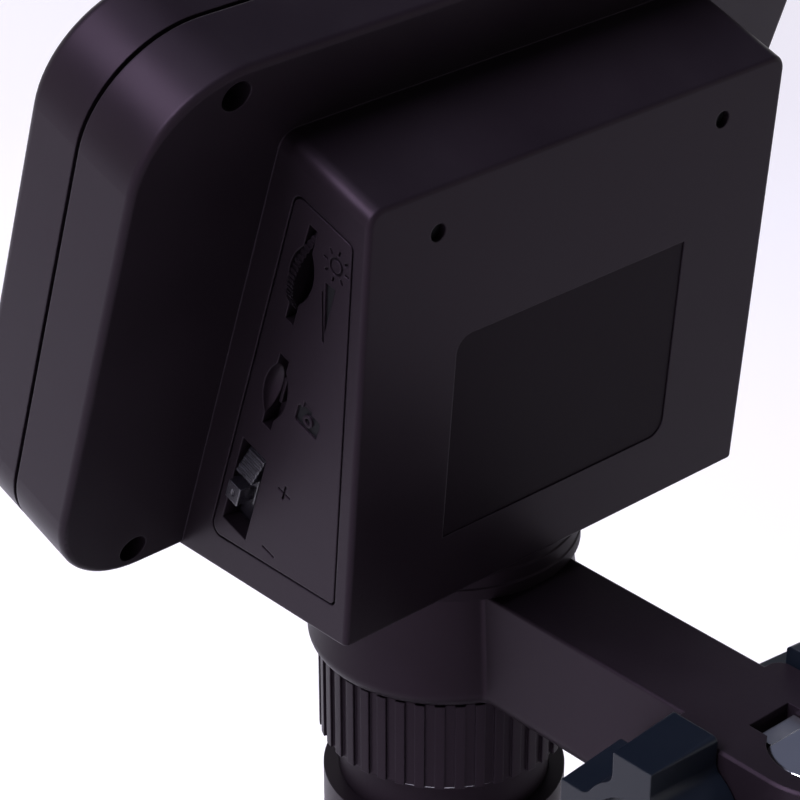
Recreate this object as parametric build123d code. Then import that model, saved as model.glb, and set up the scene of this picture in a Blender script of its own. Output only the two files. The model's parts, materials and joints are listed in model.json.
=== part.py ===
from build123d import *
import math
import os

os.makedirs("parts", exist_ok=True)

# LCD inspection microscope.  Millimetres, +Z up.  Origin: centre of the base's footprint, on the
# surface that it stands on.  The screen faces -Y, the column stands at +Y, and the side controls
# are on the +X side, at the right hand of a user who looks at the screen.

# ------------------------------------------------------------------ base and feet
base_width = 112.0
base_length = 156.0
base_height = 12.0
base_corner = 18.0
base_edge_round = 1.6
base_top_wall = 4.0
base_side_wall = 3.0
base_boss_radius = 6.0
cover_thickness = 1.2
foot_height = 3.0
foot_radius = 7.0
foot_inset = 15.0                # foot centre from the base's side and end
foot_chamfer = 0.6
foot_screw_pocket = 1.6          # depth of the pocket that hides the screw's head
stage_radius = 36.0
stage_thickness = 2.0
stage_chamfer = 0.4
stage_recess = 1.5

# ------------------------------------------------------------------ column, rack and pinion
post_radius = 8.0
post_flat = 5.5                  # flat's distance from the post's axis
post_chamfer = 0.5
post_flange_radius = 14.0
post_flange_height = 5.0
post_flange_chamfer = 1.25
post_seat_wall = 2.0             # base metal between the post's foot and its screw's head
post_screw_radius = 3.0
post_screw_head_radius = 5.0
post_screw_head = 3.3
post_screw_grip = 12.0           # thread length inside the post
gear_module = 0.6
pinion_teeth = 12
pinion_addendum = 0.9            # in modules
rack_addendum = 0.55             # in modules
tooth_clearance = 0.25           # in modules
tooth_backlash = 0.12
pressure_angle = 20.0
rack_body = 3.5                  # rack thickness behind its tooth roots
rack_width = 7.6
rack_end = 6.0                   # plain length at each end, for a screw
rack_screw_radius = 1.25
rack_screw_head_radius = 2.2
rack_screw_length = 5.0
pinion_width = 9.0
pinion_shaft_radius = 2.5
travel = 58.0                    # height travel, downwards from the rest pose

# ------------------------------------------------------------------ arm
arm_top = 136.0                  # height of the arm's flat top
arm_height = 18.7
arm_width = 16.8
arm_edge_round = 0.5
arm_foot_round = 2.5             # lower edges of the ring and the arm
arm_draft = 4.0                  # lean of the cast sides, in degrees
ring_radius = 18.9               # at its upper edge
ring_draft = 8.0
ring_arm_fillet = 0.9
optic_to_tower = 56.5            # optical axis to the tower's front face
tower_width = 23.0
tower_height = 40.0
tower_front_round = 2.5
tower_chamfer = 0.4
pinion_behind_front = 5.4        # pinion axis behind the tower's front face
pinion_below_top = 11.4
lock_below_top = 27.0
lock_screw_radius = 2.5
lock_knob_radius = 8.0
lock_knob_length = 9.0
lock_knob_gap = 2.0              # bare screw between the tower and the lock knob
lock_knob_teeth = 8
lock_knob_tooth_depth = 1.15
lock_knob_chamfer = 0.3
ring_screw_radius = 2.0
ring_screw_head_radius = 5.5
ring_screw_head = 7.0
ring_screw_gap = 1.5
ring_screw_ribs = 24
knurl_depth = 0.45
even_teeth = 0.5                 # share of the pitch that a tooth takes on knurled parts

# ------------------------------------------------------------------ focus knobs
knob_radius = 13.8               # over the lobes
knob_lobes = 4
knob_lobe_width = 8.6
knob_core_radius = 9.6
knob_lobe_round = 0.9
knob_root_round = 1.6
knob_draft = 4.0                 # in degrees
knob_length = 12.0
knob_dish_radius = 6.5
knob_dish_depth = 1.5
grub_radius = 1.5
grub_key_radius = 0.75

# ------------------------------------------------------------------ barrel and optics
barrel_radius = 16.45
barrel_bore = 13.5
barrel_length = 48.0             # below the flange's seat
flange_radius = 20.3             # rests on the arm's ring
flange_thickness = 2.1
collar_radius = 20.1             # second step of the neck
collar_thickness = 2.2
neck_radius = 19.9
neck_height = 2.5                # from the collar's top to the rear housing's underside
neck_chamfer = 0.3
spigot_radius = 14.6
spigot_height = 2.2
focus_ring_radius = 19.6
focus_ring_length = 15.0
focus_ring_ribs = 40
focus_ring_rib_depth = 0.5
focus_travel = 2.0               # lens carrier travel, each way
lens_carrier_bore = 9.0
lens_carrier_length = 26.0
drive_pin_radius = 1.2
light_housing_radius = 19.0
light_housing_length = 9.5
light_cover_thickness = 1.0
light_chamfer = 0.6
led_count = 8
led_radius = 1.6
led_height = 1.4
led_circle = 13.6

# ------------------------------------------------------------------ screen head
head_width = 126.0
head_height = 91.0               # along the screen
head_corner = 16.0
screen_tilt = 18.8               # lean of the screen, top to the back, in degrees
rear_shell_depth = 11.2
front_shell_depth = 10.4
shadow_gap = 0.7                 # width of the groove between the two shells
shadow_gap_depth = 1.1
wall = 2.2
shell_edge_round = 1.0
bezel_edge_round = 1.6
case_screw_in = 14.3             # case screws from the head's two side edges
case_screw_up = 4.2              # and from its lower and upper edges
case_screw_well_radius = 2.3
case_screw_well = 6.5
case_screw_radius = 1.3
case_screw_head_radius = 2.1
case_screw_head = 1.6
case_screw_length = 9.0          # under its head
neck_screw_length = 8.0
neck_screw_count = 3
tray_ear = 4.0                   # thickness of the ears under the tray screws' heads
case_boss_radius = 3.6
lcd_width = 105.5
lcd_height = 67.2
lcd_thickness = 2.9
lcd_centre_up = 49.3             # screen centre above the head's lower edge
window_width = 97.0
window_height = 55.8
glass_border = 2.0
glass_thickness = 1.2
board_thickness = 1.6

# ------------------------------------------------------------------ front buttons
button_names = ["menu_button", "down_button", "ok_button", "up_button", "power_button"]
button_width = 9.0
button_height = 4.6
button_pitch = 16.0
button_up = 8.6                  # button row above the head's lower edge
button_proud = 0.8
button_travel = 0.4
button_flange = 0.7
button_lip = 0.4                 # flange behind the edge of its hole
switch_width = 4.4
switch_corner = 0.5
switch_height = 1.8

# ------------------------------------------------------------------ rear housing
box_width = 78.2
box_bottom_depth = 36.3
box_back_height = 68.0
back_lean = 4.7                  # lean of the back face, top to the back, in degrees
box_shoulder_round = 2.4         # along the two upper edges that run to the screen
box_back_round = 0.8
box_foot_round = 0.5
barrel_from_back = 21.8          # optical axis in front of the housing's lower back edge
label_width = 43.8
label_height = 32.4
label_up = 11.2
label_recess = 0.6
label_thickness = 0.45
label_gap = 0.06                 # between the label's edge and its recess
label_corner = 2.6
rear_screw_in = 12.2             # rear screws from the housing's side faces
rear_screw_up = 61.4
rear_screw_well_radius = 1.3

# ------------------------------------------------------------------ side panel and controls
panel_inset_front = 4.7
panel_inset_top = 6.2
panel_inset_back = 2.6
panel_inset_bottom = 5.6
panel_corner = 1.2
panel_front_corner = 1.8
panel_least_corner = 0.65
panel_gap = 0.35
panel_rim = 1.4
panel_pad = 2.8
panel_ledge = 1.3
symbol_depth = 0.4
symbol_stroke = 0.36
sun_at = (5.4, 5.9)              # symbols' places from their slot's centre
sun_radius = 1.3
sun_rays = 8
ray_at = 2.15
ray_length = 0.8
wedge_outline = ((4.3, 2.3), (6.3, 2.6), (6.4, -5.1))
wedge_line = ((4.0, 0.7), (6.4, -6.5))
camera_at = (6.8, 0.4)
camera_size = (4.6, 3.0)
camera_corner = 0.5
camera_lens = 0.95
camera_hump = (1.8, 2.2)
sign_at = 7.2
sign_length = 2.6
plus_up = 5.8
minus_up = -6.0
wheel_slot = (9.3, 60.5, 1.7, 16.4)      # back, up, width, length
wheel_scoop = (5.4, 2.35)                # half length, depth
wheel_radius = 8.8
wheel_proud = 1.9
wheel_thickness = 1.1
wheel_ribs = 72
wheel_rib_depth = 0.25
key_slot = (10.1, 39.9, 1.9, 13.0)
key_scoop = (5.7, 2.35)
key_recess = 2.6
key_tab_recess = 1.2
key_tab_thickness = 0.5
key_tab_length = 4.4
key_travel = 0.8
key_stem = 1.0
zoom_slot = (9.1, 20.1, 5.2, 16.0)
zoom_knob_width = 3.4
zoom_knob_length = 12.8
zoom_travel = 1.3
zoom_ramp_rise = 1.75
zoom_ramp_run = 3.7
zoom_ribs = 6
zoom_rib_share = 0.55
zoom_groove_share = 0.75
zoom_plate_recess = 1.0
zoom_block_proud = 1.6
zoom_block = (2.5, 3.2)                  # width, length
zoom_valley = 1.5                        # between the ramp's crest and the block
zoom_rim = 0.3                           # beside the pocket at the block's side
zoom_pocket_depth = 1.8
zoom_mark = (0.5, 0.9)                   # dent in the block's face

# ------------------------------------------------------------------ screw drives and boards
screw_slot_depth = 0.5
deep_slot = 1.5                  # on the post's large screw
shallow_slot = 0.4               # on the rack's countersunk screws
screw_slot_share = 0.6           # of the head's radius
board_corner = 1.0

# ------------------------------------------------------------------ running clearances
running = 0.05                   # shafts in holes
sliding = 0.2                    # keys and covers beside their guides
facing = 0.3                     # moving faces that pass each other
seat = 0.02                      # fixed parts in their holes

# ------------------------------------------------------------------ what follows from them
base_bottom = foot_height
base_top = base_bottom + base_height
cover_top = base_bottom + cover_thickness
stage_top = base_top - stage_recess + stage_thickness

pitch_radius = gear_module * pinion_teeth / 2
rack_pitch = math.pi * gear_module
pinion_tip = pitch_radius + pinion_addendum * gear_module
pinion_root = pitch_radius - (rack_addendum + tooth_clearance) * gear_module
rack_root = pitch_radius + (pinion_addendum + tooth_clearance) * gear_module
rack_tip = pitch_radius - rack_addendum * gear_module

reach = optic_to_tower + pinion_behind_front + rack_root + rack_body + post_flat
stage_margin = 55.0              # optical axis behind the base's front end
optic_y = stage_margin - base_length / 2
tower_front = optic_y + optic_to_tower
pinion_y = tower_front + pinion_behind_front
post_y = optic_y + reach
pinion_z = arm_top - pinion_below_top
rack_back = pinion_y + rack_root + rack_body
post_top = arm_top - facing
post_bottom = cover_top + post_screw_head + sliding + post_seat_wall
rack_top = pinion_z + rack_end + pinion_tip
rack_bottom = pinion_z - travel - rack_end - pinion_tip

neck_top = flange_thickness + collar_thickness + neck_height
head_z = arm_top + neck_top
junction_y = optic_y + barrel_from_back - box_bottom_depth
head_depth = rear_shell_depth + front_shell_depth
tilt = math.radians(screen_tilt)
lean = math.radians(back_lean)

# Planes of the head.  face: X to the right, Y up the screen, Z out of the screen, from the lower
# rear edge of the screen head.  side: X to the back, Y up, Z out of the +X face.
face = Plane(origin=(0, junction_y, head_z), x_dir=(1, 0, 0),
             z_dir=(0, -math.cos(tilt), math.sin(tilt)))
side_x = box_width / 2
side = Plane(origin=(side_x, junction_y, head_z), x_dir=(0, math.cos(tilt), -math.sin(tilt)),
             z_dir=(1, 0, 0))
far_side = Plane(origin=(-side_x, junction_y, head_z), x_dir=(0, math.cos(tilt), -math.sin(tilt)),
                 z_dir=(1, 0, 0))
back = Plane(origin=(0, junction_y + box_bottom_depth, head_z), x_dir=(-1, 0, 0),
             z_dir=(0, math.cos(lean), -math.sin(lean)))
across = Plane(origin=(0, 0, 0), x_dir=(0, 1, 0), z_dir=(1, 0, 0))

box_outline = [
    (0.0, 0.0),
    (box_bottom_depth * math.cos(tilt), box_bottom_depth * math.sin(tilt)),
    (box_bottom_depth * math.cos(tilt) - box_back_height * math.sin(tilt - lean),
     box_bottom_depth * math.sin(tilt) + box_back_height * math.cos(tilt - lean)),
    (0.0, box_bottom_depth * math.sin(tilt) + box_back_height * math.cos(tilt - lean)),
]


# ================================================================== helpers
def push(sketch, plane, length):
    """Solid made by pushing a sketch drawn on a plane along the plane's normal."""
    return extrude(plane * sketch, amount=length, dir=plane.z_dir)


def rod(plane, at, radius, length):
    """Round bar that starts on a plane at a point of it and runs along its normal."""
    return push(Pos(at[0], at[1]) * Circle(radius), plane, length)


def slab(plane, at, size, radius, length):
    """Plate with rounded corners, centred on a point of a plane."""
    outline = RectangleRounded(size[0], size[1], radius) if radius > 0 else Rectangle(*size)
    return push(Pos(at[0], at[1]) * outline, plane, length)


def upright(x, y, z, radius, length):
    """Round bar with a vertical axis, from height z upwards."""
    return rod(Plane(origin=(0, 0, z)), (x, y), radius, length)


def along(shape, direction):
    """Straight edges of a shape that run along a direction."""
    straight = shape.edges().filter_by(GeomType.LINE)
    return [e for e in straight if abs((e % 0.5).dot(direction)) > 0.999]


def inset(points, insets):
    """Outline whose every side is moved inwards by its own distance (outwards if negative)."""
    lines = []
    for (ax, ay), (bx, by), gap in zip(points, points[1:] + points[:1], insets):
        size = math.hypot(bx - ax, by - ay)
        ux = (bx - ax) / size
        uy = (by - ay) / size
        lines.append((ax - uy * gap, ay + ux * gap, ux, uy))
    result = []
    for (px, py, ux, uy), (qx, qy, vx, vy) in zip(lines[-1:] + lines[:-1], lines):
        cross = ux * vy - uy * vx
        travelled = ((qx - px) * vy - (qy - py) * vx) / cross
        result.append((px + ux * travelled, py + uy * travelled))
    return result


def polygon(points):
    """Closed face through the given points."""
    return make_face(Polyline(*points, close=True))


def toothed(count, outer, depth, share, turn=0.0):
    """Outline of a wheel with square teeth; turn puts the middle of one tooth at that angle."""
    steps = 3
    pitch = 2 * math.pi / count
    points = []
    for tooth in range(count):
        middle = math.radians(turn) + tooth * pitch
        for radius, width, centre in ((outer, share, middle),
                                      (outer - depth, 1 - share, middle + pitch / 2)):
            for step in range(steps + 1):
                angle = centre + pitch * width * (step / steps - 0.5)
                points.append((radius * math.cos(angle), radius * math.sin(angle)))
    return polygon(points)


def screw(plane, at, radius, length, head_radius, head_height, slot_depth=screw_slot_depth):
    """Screw whose head stands on a plane and whose shank runs against the plane's normal."""
    shank = rod(plane, at, radius, -length)
    head = rod(plane, at, head_radius, head_height)
    slot = slab(plane.offset(head_height - slot_depth), at,
                (2 * head_radius, head_radius / 3), 0, 2 * slot_depth)
    cross = slab(plane.offset(head_height - slot_depth), at,
                 (head_radius / 3, 2 * head_radius), 0, 2 * slot_depth)
    reach_in = rod(plane.offset(head_height - slot_depth), at, head_radius * screw_slot_share,
                   slot_depth)
    return shank + head - ((slot + cross) & reach_in)


# ================================================================== base
def foot_places():
    """Centres of the four feet."""
    x = base_width / 2 - foot_inset
    y = base_length / 2 - foot_inset
    return [(sx * x, sy * y) for sx in (-1, 1) for sy in (-1, 1)]


foot_screw_radius = 1.75
foot_screw_grip = 5.0
foot_screw_head_radius = 2.9
foot_screw_head = 1.2
clip_stud_radius = 2.0
clip_head_radius = 4.5
clip_head_height = 3.2
clip_thickness = 0.7
clip_width = 8.0
clip_length = 40.0
clip_tip_rise = 1.2
clip_tip_run = 5.0
clip_stud_outside = 8.0          # stud axis outside the stage plate's edge
clip_stud_bearing = 38.0         # stud's bearing from the optical axis, behind the X axis
clip_bearing = 58.0              # where the clip points, in front of the X axis, in degrees


def clip_stud_place(sign):
    """Axis of one clip's stud; sign -1 is the left one."""
    away = stage_radius + clip_stud_outside
    angle = math.radians(clip_stud_bearing)
    return (sign * away * math.cos(angle), optic_y + away * math.sin(angle))


def base_casting():
    """Cast base plate, hollow underneath, with bosses for the feet and the post."""
    ground = Plane(origin=(0, 0, base_bottom))
    body = slab(ground, (0, 0), (base_width, base_length), base_corner, base_height)
    body = fillet(body.faces().sort_by(Axis.Z)[-1].edges(), base_edge_round)
    inner = (base_width - 2 * base_side_wall, base_length - 2 * base_side_wall)
    body -= slab(ground, (0, 0), inner, base_corner - base_side_wall, base_height - base_top_wall)
    boss_height = base_height - cover_thickness
    for x, y in foot_places():
        body += upright(x, y, cover_top, base_boss_radius, boss_height - base_edge_round)
        body -= upright(x, y, cover_top, foot_screw_radius + seat, foot_screw_grip)
    body += upright(0, post_y, cover_top, post_flange_radius, boss_height)
    body -= upright(0, post_y, post_bottom, post_radius + seat, base_height)
    body -= upright(0, post_y, base_bottom, post_screw_radius + sliding, base_height)
    well = post_bottom - post_seat_wall - base_bottom
    body -= upright(0, post_y, base_bottom, post_screw_head_radius + sliding, well)
    body -= upright(0, optic_y, base_top - stage_recess, stage_radius + sliding, base_height)
    for sign in (-1, 1):
        x, y = clip_stud_place(sign)
        body -= upright(x, y, base_top - base_top_wall / 2, clip_stud_radius + seat, base_height)
    return body


def base_cover():
    """Sheet that closes the base from below, held by the screws of the feet."""
    ground = Plane(origin=(0, 0, base_bottom))
    gap = base_side_wall + sliding
    size = (base_width - 2 * gap, base_length - 2 * gap)
    body = slab(ground, (0, 0), size, base_corner - gap, cover_thickness)
    for x, y in foot_places():
        body -= upright(x, y, base_bottom, foot_screw_radius + seat, cover_thickness)
    body -= upright(0, post_y, base_bottom, post_screw_head_radius + sliding, cover_thickness)
    return body


def rubber_feet():
    """Four round feet, each with a pocket for its screw."""
    feet = []
    for x, y in foot_places():
        foot = upright(x, y, 0, foot_radius, foot_height)
        foot = chamfer(foot.faces().sort_by(Axis.Z)[0].edges(), foot_chamfer)
        foot -= upright(x, y, 0, foot_radius / 2, foot_screw_pocket)
        foot -= upright(x, y, 0, foot_screw_radius + seat, foot_height)
        feet.append(foot)
    return feet


def foot_screws():
    """Screws that hold the feet and the cover to the base."""
    under = Plane(origin=(0, 0, foot_screw_pocket), x_dir=(1, 0, 0), z_dir=(0, 0, -1))
    length = cover_top + foot_screw_grip - foot_screw_pocket - facing
    screws = []
    for x, y in foot_places():
        screws.append(screw(under, (x, -y), foot_screw_radius, length, foot_screw_head_radius,
                            foot_screw_head))
    return screws


def stage_plate():
    """Round insert under the lens, which the specimen lies on."""
    body = upright(0, optic_y, base_top - stage_recess, stage_radius, stage_thickness)
    return chamfer(body.faces().sort_by(Axis.Z)[-1].edges(), stage_chamfer)


def clip_studs():
    """Knurled studs that the two stage clips turn on."""
    studs = []
    for sign in (-1, 1):
        x, y = clip_stud_place(sign)
        pin = upright(x, y, base_top - base_top_wall / 2, clip_stud_radius,
                      base_top_wall / 2 + stage_lift + clip_thickness + sliding)
        collar = upright(x, y, base_top, clip_head_radius, stage_lift - sliding)
        top = base_top + stage_lift + clip_thickness + sliding
        head = push(toothed(ring_screw_ribs, clip_head_radius, knurl_depth, even_teeth),
                    Plane(origin=(x, y, top)), clip_head_height)
        studs.append(pin + collar + head)
    return studs


stage_lift = stage_top - base_top + facing       # clip's underside above the base


def stage_clip(sign):
    """Spring-steel clip: a flat strip with a round eye and an upturned tip."""
    x, y = clip_stud_place(sign)
    eye_radius = clip_width / 2
    angle = 180 + clip_bearing if sign > 0 else -clip_bearing
    strip = slab(Plane.XY, (clip_length / 2, 0), (clip_length, clip_width), 0, clip_thickness)
    strip += rod(Plane.XY, (0, 0), eye_radius, clip_thickness)
    strip -= rod(Plane.XY, (0, 0), clip_stud_radius + running, clip_thickness)
    rise = [(clip_length, 0), (clip_length + clip_tip_run, clip_tip_rise),
            (clip_length + clip_tip_run, clip_tip_rise + clip_thickness), (clip_length, clip_thickness)]
    upturn = Plane(origin=(0, clip_width / 2, 0), x_dir=(1, 0, 0), z_dir=(0, -1, 0))
    strip += push(polygon(rise), upturn, clip_width)
    return Pos(x, y, base_top + stage_lift) * Rot(0, 0, angle) * strip


# ================================================================== column
def post():
    """Ground steel post with a flat for the rack and a tapped hole in its foot."""
    body = upright(0, post_y, post_bottom, post_radius, post_top - post_bottom)
    body = chamfer(body.faces().sort_by(Axis.Z)[-1].edges(), post_chamfer)
    cut = slab(Plane(origin=(0, 0, rack_bottom)), (0, post_y - post_flat - post_radius),
               (3 * post_radius, 2 * post_radius), 0, post_top - rack_bottom)
    body -= cut
    body -= upright(0, post_y, post_bottom, post_screw_radius + seat, post_screw_grip + facing)
    for z in rack_screw_heights():
        body -= rod(rack_front(z), (0, 0), rack_screw_radius + seat,
                    -(rack_body + rack_screw_length + facing))
    return body


def post_flange():
    """Collar that seats the post on the base."""
    ring = upright(0, post_y, base_top, post_flange_radius, post_flange_height)
    ring = chamfer(ring.faces().sort_by(Axis.Z)[-1].edges(), post_flange_chamfer)
    return ring - upright(0, post_y, base_top, post_radius + seat, post_flange_height)


def post_screw():
    """Screw that pulls the post down into the base, from below."""
    under = Plane(origin=(0, 0, post_bottom - post_seat_wall), x_dir=(1, 0, 0), z_dir=(0, 0, -1))
    length = post_seat_wall + post_screw_grip
    return screw(under, (0, -post_y), post_screw_radius, length, post_screw_head_radius,
                 post_screw_head, deep_slot)


def rack_screw_heights():
    """Heights of the two screws that hold the rack."""
    return (rack_bottom + rack_end / 2, rack_top - rack_end / 2)


def rack_front(z):
    """Plane on the rack's plain face at a height, facing the pinion."""
    return Plane(origin=(0, pinion_y + rack_root, z), x_dir=(-1, 0, 0), z_dir=(0, -1, 0))


def rack():
    """Toothed steel strip on the post's flat; its gaps face the pinion's teeth at rest."""
    root = pinion_y + rack_root
    tip = pinion_y + rack_tip
    line = pinion_y + pitch_radius
    slope = math.tan(math.radians(pressure_angle))
    half = rack_pitch / 4 - tooth_backlash / 2
    wide = half + (root - line) * slope
    slim = half - (line - tip) * slope
    first = math.ceil((rack_bottom + rack_end + wide - pinion_z) / rack_pitch - 0.5)
    last = math.floor((rack_top - rack_end - wide - pinion_z) / rack_pitch - 0.5)
    points = [(rack_back, rack_bottom), (root, rack_bottom)]
    for tooth in range(first, last + 1):
        z = pinion_z + (tooth + 0.5) * rack_pitch
        points += [(root, z - wide), (tip, z - slim), (tip, z + slim), (root, z + wide)]
    points += [(root, rack_top), (rack_back, rack_top)]
    start = across.offset(-rack_width / 2)
    body = push(polygon(points), start, rack_width)
    for z in rack_screw_heights():
        body -= rod(rack_front(z), (0, 0), rack_screw_radius + seat, -rack_body)
        body -= rod(rack_front(z), (0, 0), rack_screw_head_radius + seat, -rack_screw_radius)
    return body


def rack_screws():
    """Countersunk screws that hold the rack to the post."""
    screws = []
    for z in rack_screw_heights():
        seat_plane = rack_front(z).offset(-rack_screw_radius)
        length = rack_body - rack_screw_radius + rack_screw_length
        screws.append(screw(seat_plane, (0, 0), rack_screw_radius, length,
                            rack_screw_head_radius, rack_screw_radius, shallow_slot))
    return screws


# ================================================================== arm
def arm():
    """Casting: a ring round the barrel, a flat-topped arm, and the tower that rides the post."""
    bottom = arm_top - arm_height
    half = arm_width / 2
    floor = Plane(origin=(0, optic_y, bottom))
    spread = arm_height * math.tan(math.radians(ring_draft))
    ring = extrude(floor * Circle(ring_radius + spread), amount=arm_height, taper=ring_draft)
    slope = arm_height * math.tan(math.radians(arm_draft))
    section = [(-half - slope, 0), (half + slope, 0), (half, arm_height), (-half, arm_height)]
    body = ring + push(polygon(section), Plane(origin=(0, optic_y, bottom), x_dir=(-1, 0, 0),
                                               z_dir=(0, 1, 0)), pinion_y - optic_y)
    meet_y = optic_y + math.sqrt(ring_radius ** 2 - half ** 2)
    corners = [e for e in body.edges() if e.length > arm_height / 2
               and abs(abs(e.center().X) - half) < 2 * slope
               and abs(e.center().Y - meet_y) < half / 2]
    body = fillet(corners, ring_arm_fillet)
    feet = [e for e in body.faces().sort_by(Axis.Z)[0].edges() if e.center().Y < tower_front]
    body = fillet(feet, arm_foot_round)
    top_edges = body.faces().sort_by(Axis.Z)[-1].edges()
    body = fillet(top_edges, arm_edge_round)
    tower_bottom = arm_top - tower_height
    straight = post_y - tower_front
    tower = slab(Plane(origin=(0, 0, tower_bottom)), (0, tower_front + straight / 2),
                 (tower_width, straight), 0, tower_height)
    tower = fillet(tower.edges().filter_by(Axis.Z).sort_by(Axis.Y)[:2], tower_front_round)
    tower += upright(0, post_y, tower_bottom, tower_width / 2, tower_height)
    tower = chamfer(tower.faces().sort_by(Axis.Z)[-1].edges(), tower_chamfer)
    body += tower
    body -= upright(0, optic_y, bottom, barrel_radius + running, arm_height)
    body -= upright(0, post_y, tower_bottom, post_radius + running, tower_height)
    channel_front = pinion_y + rack_tip - facing
    channel = post_y - channel_front
    body -= slab(Plane(origin=(0, 0, tower_bottom)), (0, channel_front + channel / 2),
                 (rack_width + 2 * sliding, channel), 0, tower_height)
    bore = pinion_tip + facing
    body -= rod(across.offset(-tower_width / 2), (pinion_y, pinion_z), bore, tower_width)
    behind = Plane(origin=(0, post_y, arm_top - lock_below_top), x_dir=(-1, 0, 0), z_dir=(0, 1, 0))
    body -= rod(behind, (0, 0), lock_screw_radius + running, tower_width)
    before = Plane(origin=(0, optic_y, arm_top - arm_height / 2), x_dir=(1, 0, 0), z_dir=(0, -1, 0))
    body -= rod(before, (0, 0), ring_screw_radius + running, 2 * ring_radius)
    return body


def pinion_bushes():
    """Two bushes that carry the pinion's shaft in the tower's sides."""
    bore = pinion_tip + facing
    inner = pinion_width / 2 + sliding
    bushes = []
    for start in (inner, -tower_width / 2):
        plane = across.offset(start)
        length = tower_width / 2 - inner
        bush = rod(plane, (pinion_y, pinion_z), bore - seat, length)
        bush -= rod(plane, (pinion_y, pinion_z), pinion_shaft_radius + running, length)
        bushes.append(bush)
    return bushes


def pinion_outline():
    """Involute pinion with a tooth towards the rack."""
    base = pitch_radius * math.cos(math.radians(pressure_angle))

    def unwind(radius):
        angle = math.acos(min(1.0, base / radius))
        return math.tan(angle) - angle

    half_pitch = math.pi / (2 * pinion_teeth) - tooth_backlash / (4 * pitch_radius)
    steps = 4
    low = max(base, pinion_root)
    flank = [low + (pinion_tip - low) * step / steps for step in range(steps + 1)]
    points = []
    for tooth in range(pinion_teeth):
        middle = 2 * math.pi * tooth / pinion_teeth
        sides = [(radius, half_pitch + unwind(pitch_radius) - unwind(radius)) for radius in flank]
        sides.insert(0, (pinion_root, sides[0][1]))
        for radius, angle in sides:
            points.append((radius * math.cos(middle - angle), radius * math.sin(middle - angle)))
        for radius, angle in reversed(sides):
            points.append((radius * math.cos(middle + angle), radius * math.sin(middle + angle)))
    return polygon(points)


def pinion_shaft():
    """Pinion and its shaft, one piece, through the tower."""
    teeth = push(Pos(pinion_y, pinion_z) * pinion_outline(), across.offset(-pinion_width / 2),
                 pinion_width)
    length = tower_width + 2 * (facing + knob_length - knob_dish_depth)
    shaft = rod(across.offset(-length / 2), (pinion_y, pinion_z), pinion_shaft_radius, length)
    return teeth + shaft


def knob_plane(sign):
    """Inner face of a focus knob; sign -1 is the left one."""
    inner = tower_width / 2 + facing
    return Plane(origin=(sign * inner, pinion_y, pinion_z), x_dir=(0, 0, 1), z_dir=(sign, 0, 0))


def grub_plane(sign):
    """Plane on the pinion's axis across a knob's grub screw, between two lobes."""
    plane = knob_plane(sign)
    groove = math.pi / knob_lobes
    return Plane(origin=plane.from_local_coords(Vector(0, 0, knob_length / 2)), x_dir=(1, 0, 0),
                 z_dir=plane.x_dir * math.cos(groove) + plane.y_dir * math.sin(groove))


def knob(sign):
    """Lobed focus knob with a moulded draft; sign -1 is the left one."""
    plane = knob_plane(sign)
    lobes = Circle(knob_core_radius)
    for number in range(knob_lobes):
        lobes += Rot(0, 0, 360 * number / knob_lobes) * Pos(knob_radius / 2, 0) \
            * Rectangle(knob_radius, knob_lobe_width)
    tips = [v for v in lobes.vertices() if math.hypot(v.X, v.Y) > knob_radius - knob_lobe_round]
    outline = fillet(tips, knob_lobe_round)
    roots = [v for v in outline.vertices()
             if abs(math.hypot(v.X, v.Y) - knob_core_radius) < knob_lobe_round / 10]
    outline = fillet(roots, knob_root_round)
    body = extrude(plane * outline, amount=knob_length, taper=knob_draft)
    outer = plane.offset(knob_length - knob_dish_depth)
    body -= rod(outer, (0, 0), knob_dish_radius, knob_dish_depth)
    body -= rod(plane, (0, 0), pinion_shaft_radius + seat, knob_length)
    body -= rod(grub_plane(sign).offset(pinion_shaft_radius), (0, 0), grub_radius + seat,
                knob_radius)
    return body


def knob_grub_screws():
    """Headless screws that hold the knobs on the shaft."""
    screws = []
    for sign in (-1, 1):
        radial = grub_plane(sign)
        start = pinion_shaft_radius + seat
        end = knob_core_radius - knob_length * math.tan(math.radians(knob_draft)) - facing
        grub = rod(radial.offset(start), (0, 0), grub_radius, end - start)
        hexagon = RegularPolygon(grub_key_radius, 6)
        grub -= push(hexagon, radial.offset(end - grub_radius), grub_radius)
        screws.append(grub)
    return screws


def post_lock():
    """Lock screw behind the tower: a steel screw with a fluted plastic knob moulded on."""
    plane = Plane(origin=(0, post_y, arm_top - lock_below_top), x_dir=(1, 0, 0), z_dir=(0, 1, 0))
    start = post_radius + running
    knob_start = tower_width / 2 + lock_knob_gap
    stem = rod(plane.offset(start), (0, 0), lock_screw_radius, knob_start - start)
    grip = push(toothed(lock_knob_teeth, lock_knob_radius, lock_knob_tooth_depth, even_teeth),
                plane.offset(knob_start), lock_knob_length)
    grip = chamfer(grip.faces().sort_by(Axis.Y)[-1].edges(), lock_knob_chamfer)
    return stem + grip


def ring_screw():
    """Knurled thumb screw that clamps the barrel in the arm's ring."""
    plane = Plane(origin=(0, optic_y, arm_top - arm_height / 2), x_dir=(1, 0, 0), z_dir=(0, -1, 0))
    start = barrel_radius + sliding
    spread = arm_height * math.tan(math.radians(ring_draft))
    head_start = ring_radius + spread + ring_screw_gap
    stem = rod(plane.offset(start), (0, 0), ring_screw_radius, head_start - start)
    head = push(toothed(ring_screw_ribs, ring_screw_head_radius, knurl_depth, even_teeth),
                plane.offset(head_start), ring_screw_head)
    return stem + head


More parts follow.
